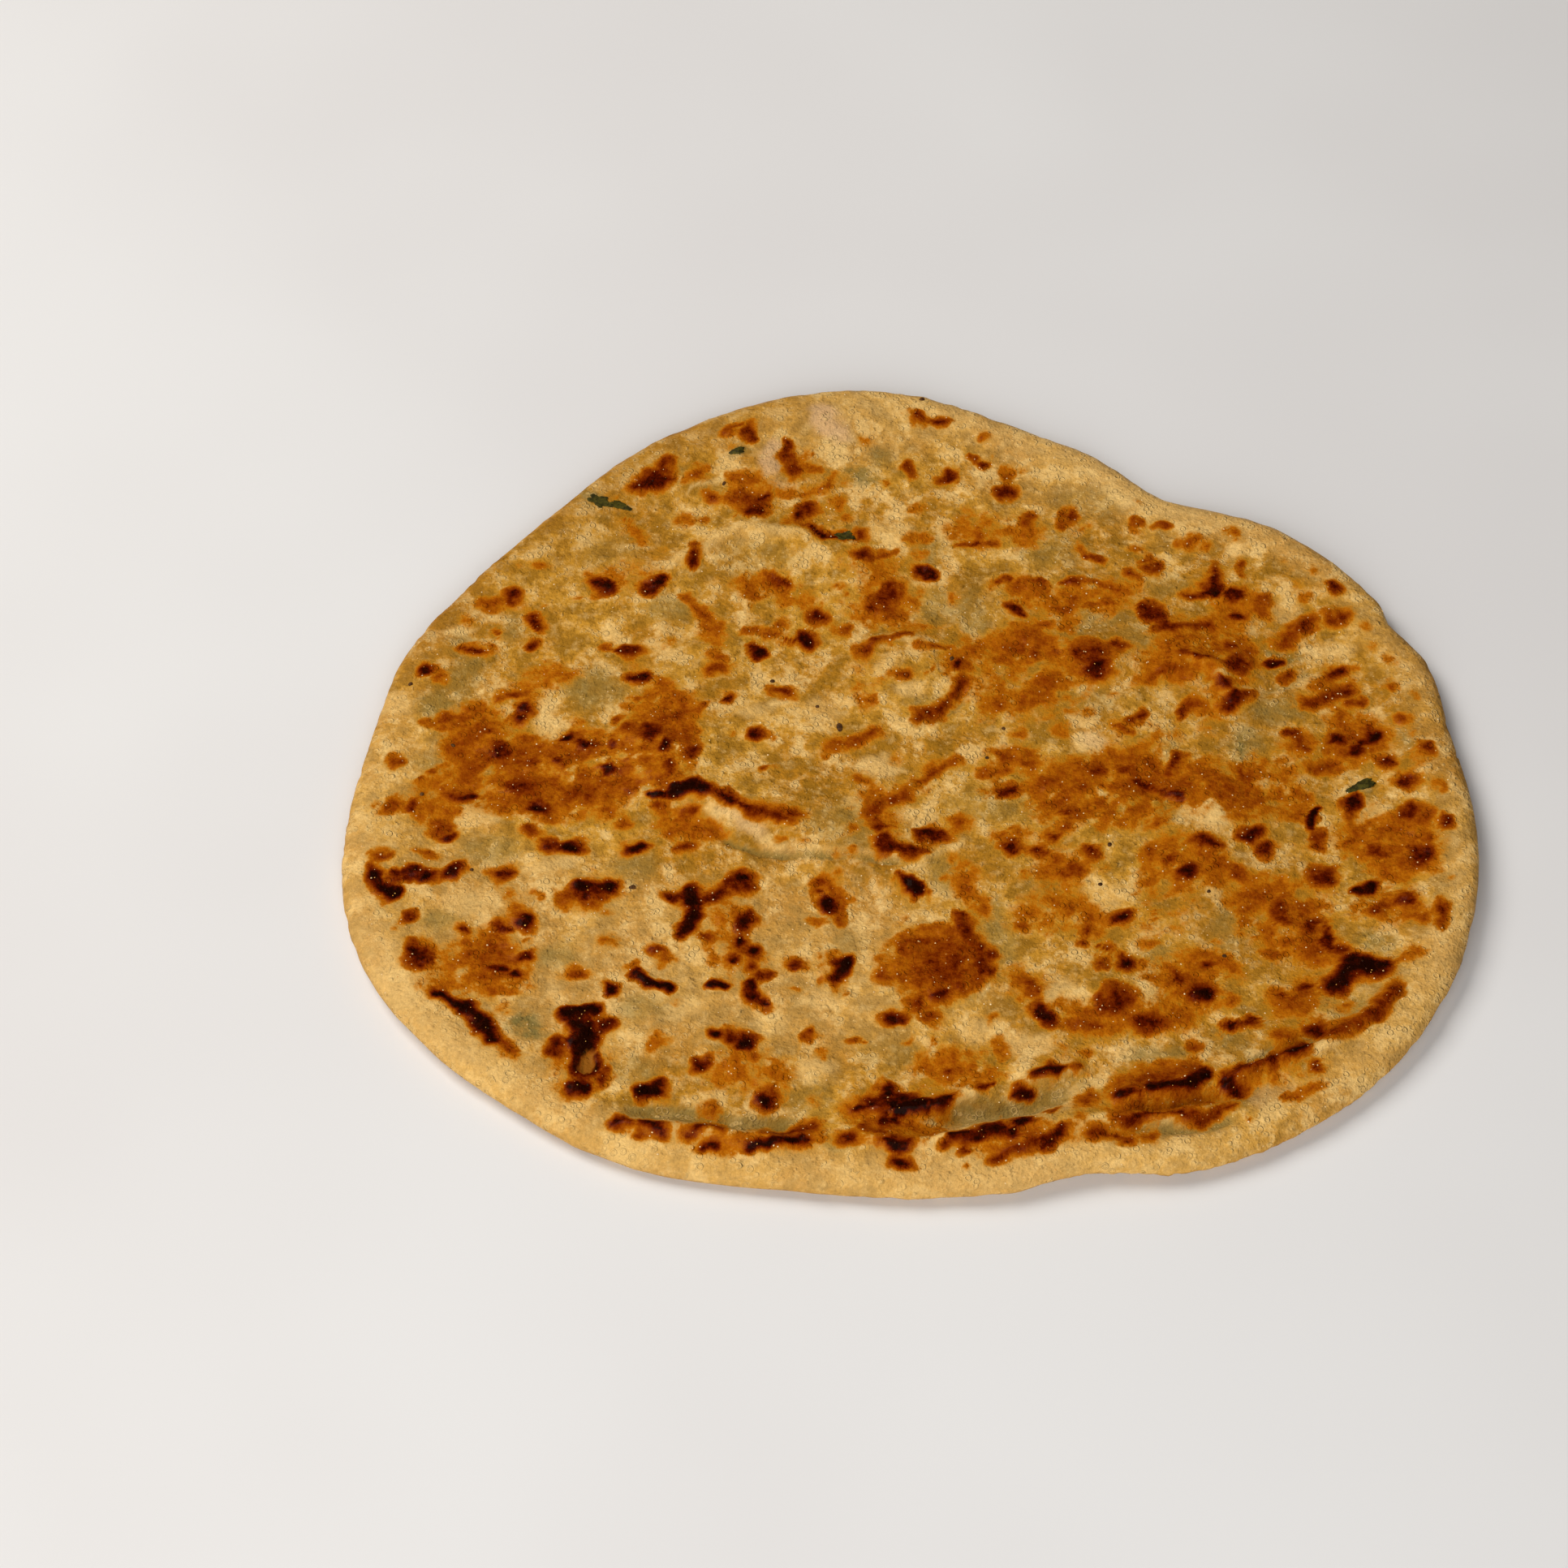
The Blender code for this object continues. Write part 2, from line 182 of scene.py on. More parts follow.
        (-88.6, -17, 2.4, 2.6, 0, 0.54), (-99.4, -23, 2.0, 1.4, 10, 0.54), (-91.5, -23.4, 1.8, 1.0, 0, 0.5),
        (-64, -21.3, 1.8, 1.6, 0, 0.9), (-67.8, -21, 2.4, 1.4, -5, 0.76), (-51.7, -21.5, 1.9, 1.2, 5, 0.94),
        (-54.2, -15.7, 1.0, 0.9, 0, 0.62), (-58, -13.5, 1.4, 1.0, 0, 0.46), (-101.8, 6.5, 1.0, 0.9, 0, 0.42),
    ),
    "left of the near rim": (
        (-86.6, -27.4, 2.3, 1.4, 30, 0.9), (-93.5, -28, 4.4, 2.2, -5, 0.82), (-76.8, -27.5, 1.5, 1.3, 0, 0.82),
        (-93.7, -37.5, 1.5, 1.4, 50, 0.64), (-82.8, -40.4, 1.5, 1.0, -40, 0.82), (-72.5, -38.7, 1.5, 1.3, 0, 0.97),
        (-76.5, -40.3, 1.5, 1.3, 0, 0.78), (-73.5, -36, 1.6, 1.0, 0, 0.42), (-82, -43.4, 1.0, 1.8, 20, 0.44),
        (-91.5, -46, 2.4, 3.2, 30, 0.79), (-76.5, -49.5, 2.0, 1.1, -12, 0.87), (-73.2, -51, 1.5, 0.9, -25, 0.9),
        (-72.2, -47.3, 1.2, 1.3, 0, 0.77), (-62.2, -50.5, 1.2, 0.9, 25, 0.56), (-56.7, -42.8, 0.8, 0.7, 0, 0.46),
        (-55.6, -54.3, 1.6, 1.5, 0, 0.97), (-61.4, -30.6, 2.2, 1.7, 0, 0.97), (-57.6, -31.2, 2.2, 1.8, -10, 0.95),
        (-60, -31.6, 5.0, 2.8, 5, 0.76), (-65.2, -33.4, 1.8, 1.3, 0, 0.62), (-60.3, -34.6, 1.2, 1.0, 0, 0.6),
        (-60.2, -65.6, 2.9, 5.6, 3, 0.97), (-59.8, -71, 3.0, 3.2, 0, 0.98), (-56.4, -62.4, 2.2, 1.8, 10, 0.8), (-65.4, -66.6, 2.3, 3.2, -14, 0.74),
        (-61.4, -61.6, 2.2, 1.9, 0, 0.97), (-56.2, -73, 1.5, 3.0, -14, 0.68),
        (-60.6, -76.4, 2.4, 1.3, -8, 0.98), (-56.8, -76, 1.4, 0.9, 20, 0.5), (-48.6, -76.5, 2.4, 1.7, 0, 0.98),
        (-46.8, -74.9, 1.6, 1.1, 30, 0.9), (-47.4, -66.5, 1.9, 1.5, 30, 0.42), (-36.7, -64.8, 1.4, 1.4, 0, 0.98),
        (-39, -71.3, 1.6, 1.5, 0, 0.82), (-36.8, -80.6, 1.6, 1.7, 0, 0.46), (-55.4, -86.6, 0.7, 0.7, 0, 0.8),
        (-49.9, -87, 0.8, 1.1, 0, 0.87), (-37.5, -88.8, 2.1, 1.1, 8, 0.87), (-34, -91.4, 0.9, 1.3, 35, 0.8),
        (-44, -56.5, 1.0, 0.8, 0, 0.3), (-46.5, -47, 1.4, 1.6, 0, 0.42), (-96, -40, 1.2, 1.0, 0, 0.3),
    ),
    "below the seam": (
        (-47.4, -12, 1.9, 1.6, 0, 0.62), (-41.6, -13, 1.5, 1.3, 0, 0.64), (-38.5, -17.6, 2.4, 1.9, 0, 0.5),
        (-45.5, -17.2, 1.2, 1.1, 0, 0.46), (-42.8, -21.3, 1.6, 1.2, 0, 0.68), (-24.5, -19.6, 1.5, 0.7, 0, 0.44),
        (-48, -45.5, 2.0, 1.2, 20, 0.74), (-31.8, -28.7, 0.9, 0.8, 0, 0.92), (-45, -32.4, 1.9, 1.1, 10, 0.78),
        (-31, -38.9, 2.0, 1.8, 0, 0.88), (-31.8, -43.3, 1.3, 1.7, 0, 0.95), (-29.3, -45.8, 1.1, 1.0, 0, 0.98),
        (-33.5, -47.8, 0.8, 0.9, 0, 0.98), (-30.6, -48.6, 1.2, 0.9, -30, 0.82), (-38.2, -42, 1.5, 0.9, 10, 0.62),
        (-28, -51.4, 1.9, 1.6, 20, 0.72), (-30.4, -54.6, 1.7, 2.2, 25, 0.88), (-28, -57, 1.7, 0.9, -20, 0.84),
        (-22.7, -49.3, 1.4, 1.2, 10, 0.8), (-36.1, -53.6, 2.3, 0.9, 3, 0.97), (-17.3, -29, 1.0, 0.9, 0, 0.78),
        (-17.6, -31.8, 0.9, 0.8, 0, 0.77), (-15.5, -35.2, 1.3, 1.7, -10, 0.87), (-18.5, -38.5, 2.2, 1.2, 0, 0.4),
        (-13.4, -48.8, 2.1, 2.9, -8, 1.0), (-14.6, -52, 1.8, 1.6, 40, 0.8), (0, -30.5, 1.7, 3.0, 20, 0.97),
        (-22.8, -54.3, 1.1, 0.6, -10, 0.44), (-11.5, -17, 1.2, 1.0, 0, 0.5), (-31.4, -66.2, 1.8, 1.6, 0, 0.9),
        (-32, -65.4, 4.0, 1.9, 8, 0.7), (-19.5, -64.5, 1.4, 2.1, 10, 0.58), (-17, -68.3, 1.0, 0.8, 0, 0.34),
        (-11.2, -65.9, 1.6, 0.8, -15, 0.48), (-3.4, -60.9, 2.4, 1.9, 0, 0.93), (-27.2, -78.6, 1.4, 1.6, 0, 0.98),
        (-26.8, -77.5, 2.0, 2.6, 0, 0.62), (-25.8, -73.4, 0.9, 1.4, 0, 0.4), (-6.5, -17, 2.0, 1.2, 10, 0.7),
        (3.6, -18.6, 3.2, 1.7, -8, 0.78), (2, -23, 1.8, 1.2, 20, 0.7), (-5, -51.3, 1.4, 1.2, 0, 0.56),
    ),
    "orange disc": (
        (5.5, -48, 8.6, 8.2, 20, 0.6), (4.3, -55, 1.4, 1.0, 0, 0.87), (0, -57.2, 1.6, 1.4, 0, 0.7),
        (2.4, -59.6, 1.6, 1.6, 0, 0.62), (-1.8, -44, 1.7, 1.5, 0, 0.64), (2.4, -43, 2.0, 0.9, 10, 0.64),
        (12.4, -49, 1.9, 2.6, 20, 0.7), (5, -51, 1.8, 2.2, 0, 0.7), (8, -53.5, 1.8, 1.4, 0, 0.66),
    ),
    "right of the middle": (
        (19, -22.1, 1.6, 1.5, 0, 0.87), (23.8, -22.6, 1.3, 0.9, 0, 0.74), (26.8, -18.4, 1.5, 0.9, 20, 0.74),
        (29.6, -17, 1.2, 0.8, 10, 0.6), (33.8, -22, 1.6, 1.7, 0, 0.68), (30, -27, 3.0, 2.4, 35, 0.6),
        (38, -37.8, 1.9, 1.2, 15, 0.88), (33.5, -37.6, 1.8, 1.0, 0, 0.46), (32, -41, 1.2, 1.2, 0, 0.64),
        (31.6, -43.8, 1.0, 0.8, 0, 0.66), (36, -45, 1.8, 0.8, -20, 0.68), (39.3, -48.3, 1.9, 1.7, -20, 0.9),
        (34.3, -48.3, 1.4, 1.3, 30, 0.6), (44, -43.4, 1.9, 1.4, 0, 0.4), (42.5, -48, 0.8, 0.7, 0, 0.56),
        (51.8, -27.4, 1.8, 1.6, 0, 0.92), (48, -24.4, 2.2, 1.2, 45, 0.6), (53.5, -48.6, 1.3, 0.9, 0, 0.82),
        (52.5, -46.5, 1.6, 1.4, 0, 0.4), (55.2, -20.3, 2.9, 1.8, -25, 0.78), (57, -21.3, 1.5, 1.2, 0, 0.72),
        (64.3, -17.8, 2.4, 2.0, 40, 0.84), (66.6, -21.8, 1.8, 2.0, -20, 0.76), (61.6, -27.6, 2.0, 1.8, 0, 0.62),
        (77.3, -28.8, 2.4, 2.0, 0, 0.8), (82.5, -21, 1.1, 0.8, 0, 0.46), (76.4, -14.6, 1.1, 2.9, -22, 0.9),
        (77, -18.6, 2.1, 2.1, 0, 0.72), (76.2, -21.6, 1.4, 1.2, 0, 0.58), (84.1, -11.4, 1.6, 2.5, -18, 0.82),
        (20, -40.2, 1.3, 0.9, 15, 0.54), (58, -56.8, 1.1, 0.7, 30, 0.52), (31, -68, 0.9, 0.8, 0, 0.46),
        (47, -15.8, 1.6, 1.2, 0, 0.46), (45, -22, 1.3, 1.2, 0, 0.4), (17.5, -18.6, 1.4, 1.0, 0, 0.46),
    ),
    "right edge": (
        (84.1, 21.2, 2.6, 1.1, 28, 0.8), (94.4, 24.6, 0.8, 0.7, 0, 0.44), (94, 17.8, 1.0, 0.8, 0, 0.54),
        (98.6, 15.8, 1.6, 1.5, 0, 0.4), (87, 13, 1.5, 1.2, -10, 0.66), (86, 16.8, 1.9, 1.4, 45, 0.7),
        (73.4, 19.8, 2.2, 1.6, 40, 0.56), (94.7, 9.8, 1.7, 1.5, 0, 0.58), (82.9, 4.6, 1.9, 1.4, 35, 0.88),
        (88.6, 5.2, 2.8, 1.7, 30, 0.84), (86.1, 2, 1.9, 1.8, 0, 0.9), (91.4, -0.8, 1.7, 1.3, 0, 0.8),
        (83.8, 9.6, 1.2, 1.7, 0, 0.52), (100.3, 2.5, 1.9, 1.8, 0, 0.68), (95.2, -5.2, 1.8, 1.5, 20, 0.8),
        (101.3, -6.2, 1.6, 1.3, 0, 0.44), (79.3, -2.3, 3.8, 1.7, 14, 0.6), (74.5, 5.4, 1.6, 1.5, 0, 0.7),
        (94.6, -12.8, 1.8, 2.6, -10, 0.78), (97.4, -13.5, 1.8, 2.6, 0, 0.5), (101.9, -14.9, 1.7, 1.4, 0, 0.8),
        (87.2, -22.4, 2.2, 1.8, -40, 0.7), (95.6, -22.9, 2.2, 1.9, 40, 0.77), (91.5, -21.6, 3.0, 1.5, 0, 0.54),
        (85.2, -31, 3.4, 1.5, 32, 0.93), (91.5, -34, 2.4, 1.6, 20, 0.77), (87, -36, 3.0, 1.5, 18, 0.6),
        (93.6, -37.2, 1.4, 1.0, 0, 0.5), (98.7, -37, 1.6, 2.9, -12, 0.68), (91.5, -46.8, 2.4, 0.9, 28, 0.4),
        (97.6, -26.6, 1.2, 0.8, 0, 0.3), (101, -28.6, 1.2, 0.8, 30, 0.34), (66.2, -46.6, 2.4, 1.4, -5, 0.54),
    ),
    "near right": (
        (68.6, -36.6, 2.2, 3.2, 0, 0.7), (64, -32, 3.4, 2.6, 0, 0.5), (73.6, -40.4, 1.8, 2.8, -25, 0.68),
        (77, -42.6, 1.9, 2.6, -10, 0.82), (79.4, -45.2, 2.0, 1.4, 0, 0.72), (72.3, -53.7, 1.5, 0.7, 10, 0.8),
        (68, -55.2, 2.0, 0.8, 0, 0.68), (70, -57, 3.6, 2.4, 0, 0.5), (72.8, -63, 2.2, 1.4, 18, 0.9),
        (57.6, -62.2, 1.9, 1.4, 0, 0.88), (61.2, -61.8, 1.8, 1.3, 10, 0.84), (56.8, -75.7, 2.1, 1.2, -8, 0.93),
        (68.8, -68.2, 2.9, 1.6, 18, 0.98), (72, -71, 1.6, 1.0, 40, 0.78), (53, -54.8, 2.4, 2.1, 0, 0.97),
        (48.4, -51.5, 1.1, 2.5, 22, 0.72), (36.8, -56.4, 3.9, 3.4, 0, 0.74), (43, -61.6, 3.6, 2.2, -12, 0.7),
        (20.8, -54.4, 1.7, 2.2, 15, 0.64), (23.4, -60, 1.8, 3.4, 20, 0.82), (50.6, -67, 1.8, 1.3, 0, 0.62),
        (31, -61.6, 4.4, 1.5, -3, 0.56), (49, -60, 2.8, 2.8, 0, 0.46), (23.8, -73, 2.9, 1.4, 5, 0.88),
        (29, -71.9, 2.0, 1.0, 12, 0.62), (19, -77, 1.9, 1.3, 20, 0.9), (30.6, -78.3, 1.7, 0.7, 20, 0.64),
        (23.6, -80.8, 1.3, 0.5, 8, 0.62), (38, -77.3, 2.4, 1.2, 8, 0.84), (41.6, -86.4, 1.5, 1.1, 0, 0.54),
        (63, -84, 1.3, 0.7, 0, 0.42), (60, -82.4, 0.9, 0.6, 0, 0.42), (28, -89.4, 0.8, 0.7, 0, 0.4),
        (66.5, -64.5, 2.2, 1.2, 0, 0.5), (78.6, -57.4, 1.4, 0.8, 30, 0.4), (34.6, -63.6, 0.7, 0.6, 0, 0.56),
    ),
    "near rim": (
        (-4, -79.6, 6.4, 3.0, -4, 0.76), (-5, -76.6, 1.9, 1.4, 0, 0.88), (-2, -80.6, 3.8, 1.1, 0, 0.98),
        (3.4, -79, 3.0, 1.3, 10, 0.88), (-9.6, -79.8, 1.7, 0.9, 10, 0.9), (-5, -83, 2.8, 1.1, 0, 0.78),
        (11.6, -76, 1.7, 0.8, 5, 0.8), (6.3, -72.6, 1.2, 1.2, 0, 0.7), (6, -69.6, 2.2, 3.2, 10, 0.44),
        (15.4, -67, 1.6, 2.2, 0, 0.44), (-20.5, -88.2, 1.1, 0.9, 0, 0.62), (-12.4, -86.8, 2.0, 0.9, 0, 0.82),
        (-4, -87.8, 3.4, 1.1, -5, 0.94), (-7.5, -85, 2.2, 0.8, 0, 0.6), (8.2, -89.2, 2.2, 0.7, 15, 0.72),
        (18.8, -83.5, 2.8, 1.0, 0, 0.85), (23, -88.4, 1.8, 0.8, -35, 0.7), (8.5, -93, 0.9, 0.8, 0, 0.5),
    ),
}

# Long scorches: along the seam's crest, round a burst blister and on the ripples behind the near rim.
STREAKS = (
    Streak(1.7, 1.0, ((-44.6, -7.9), (-41.5, -6.8), (-39.6, -7.2))),
    Streak(0.8, 1.0, ((-49, -9.3), (-44, -8.4))),
    Streak(1.5, 0.66, ((-39.5, -7), (-34, -10), (-30, -12.6), (-26, -14.2), (-22.4, -13.8))),
    Streak(0.9, 0.84, ((-36, -9.2), (-31.4, -11.8))),
    Streak(1.4, 0.8, ((-6, -20), (-3.4, -22.4), (1, -23.4))),
    Streak(1.6, 0.56, ((-1, -8.5), (-5, -11), (-8, -13.2), (-7, -17))),
    Streak(1.8, 0.94, ((-42, -32), (-40.8, -35), (-41.5, -39), (-43, -41.4))),
    Streak(1.1, 0.78, ((-39, -33), (-36, -31.6), (-32, -29.6), (-30.6, -31))),
    Streak(1.2, 0.5, ((-16, -30), (-13.2, -34), (-14.8, -38.4))),
    Streak(1.5, 0.74, ((8.6, -38), (11, -43), (13.6, -47))),
    Streak(1.7, 0.98, ((-101, -28), (-99, -30), (-97, -32.4))),
    Streak(0.9, 0.97, ((-87.4, -55), (-84, -57.4), (-80, -60.6), (-78, -63), (-76.6, -65.4))),
    Streak(1.5, 0.98, ((-83, -58), (-80, -60.4))),
    Streak(1.0, 0.62, ((-76, -66), (-72, -68.2))),
    Streak(1.8, 0.98, ((-64, -59.5), (-61, -59.5), (-58.8, -58.6))),
    Streak(1.1, 0.97, ((-51.5, -50.8), (-48, -52.5), (-45.5, -53.6))),
    Streak(0.6, 0.8, ((-55.5, -84), (-52.5, -83.7), (-51, -84.3))),
    Streak(0.8, 0.84, ((-49.5, -84.3), (-46.4, -85.8))),
    Streak(0.5, 0.76, ((-42, -85.6), (-40, -84.6), (-36, -85))),
    Streak(1.1, 0.94, ((-29.5, -88.8), (-24, -87.6), (-20.8, -87))),
    Streak(1.0, 0.62, ((-27, -86), (-19, -84.2))),
    Streak(0.9, 0.88, ((-2.8, -91.6), (-1.8, -93.8))),
    Streak(1.2, 0.86, ((5.6, -87.2), (10, -85.8), (16, -85.5))),
    Streak(1.1, 0.74, ((13.5, -91.4), (20, -88), (26, -84.6))),
    Streak(1.5, 0.95, ((42, -76.4), (48, -75.5), (51.6, -73.2))),
    Streak(2.0, 0.54, ((38, -74.6), (50, -71.8))),
    Streak(1.0, 0.7, ((36, -82.6), (45, -82), (52, -82), (56, -80.4))),
    Streak(0.9, 0.6, ((31.5, -85), (37.4, -87))),
    Streak(1.3, 0.74, ((56.6, -73.8), (61, -71.4), (66, -69.2))),
    Streak(0.8, 0.52, ((66, -78), (70, -77), (73.4, -76.3))),
    Streak(1.4, 0.66, ((88.4, -54), (86, -57), (83, -60.2), (79, -63), (76, -64.6))),
    Streak(1.5, 0.98, ((77.2, -53), (79.4, -50.6), (82, -49.2), (86.4, -48.8))),
    Streak(1.3, 0.96, ((80.6, -47.8), (84.4, -48.4))),
    Streak(1.2, 0.66, ((48.6, 32.2), (54, 32.2), (60, 33.6))),
    Streak(0.9, 0.56, ((33, 45.4), (38, 44.6), (42, 42.8))),
    Streak(1.0, 0.55, ((53.5, 21.4), (50, 22), (46.4, 18.6))),
    Streak(1.2, 0.62, ((56.6, 13.6), (54.5, 13), (52.5, 10.4))),
    Streak(0.6, 0.78, ((54, 25.6), (59, 25))),
    Streak(1.2, 0.74, ((43.6, -5.4), (47, -7.6), (51, -9.6))),
    Streak(1.1, 0.68, ((52.2, 1), (51.4, -1.2), (49.8, -3.6))),
    Streak(1.1, 0.52, ((17, 1), (20, 0), (23.4, -1.4))),
    Streak(1.2, 0.48, ((14, -3.4), (18, -3))),
    Streak(1.2, 0.46, ((9, -0.4), (5, -3), (2, -6))),
    Streak(1.0, 0.62, ((6.6, -1.8), (4.6, -3.2))),
    Streak(1.2, 0.64, ((11, 18.6), (9, 15.4), (6.4, 11.2), (2, 10.4))),
    Streak(0.9, 0.58, ((-9, 26), (-6.4, 28.8), (-2, 30.2), (1, 30.6))),
    Streak(0.6, 0.54, ((3, 28.4), (9, 27.8))),
    Streak(0.8, 0.56, ((-6.4, 5.4), (-9, 4.2), (-13, 3.4))),
    Streak(1.1, 0.48, ((-43, 41), (-40.6, 37.6), (-39.5, 34))),
    Streak(1.0, 0.5, ((-31.5, 31.6), (-26, 30.6))),
    Streak(0.9, 0.54, ((-79, 15), (-76, 16.6), (-74, 16.5))),
    Streak(1.1, 0.52, ((-86, 41), (-82, 38.4), (-78.6, 40))),
    Streak(0.5, 0.9, ((-18.6, 58.6), (-16, 56.6), (-13, 56.4))),
    Streak(0.6, 0.42, ((-26, 68.4), (-20, 67.6), (-15, 70), (-14, 73.4))),
    Streak(0.7, 0.62, ((10.5, 54.4), (14, 55), (17.4, 54.8))),
    Streak(0.9, 0.46, ((55.4, 53.4), (58.6, 55.6))),
    Streak(1.4, 0.6, ((79, 34), (76, 31.6), (74.4, 29))),
    Streak(1.3, 0.6, ((86, 17), (81, 15), (78, 13.6))),
    Streak(1.1, 0.66, ((72.4, 6.4), (75, 4.6), (76, 2.4))),
)

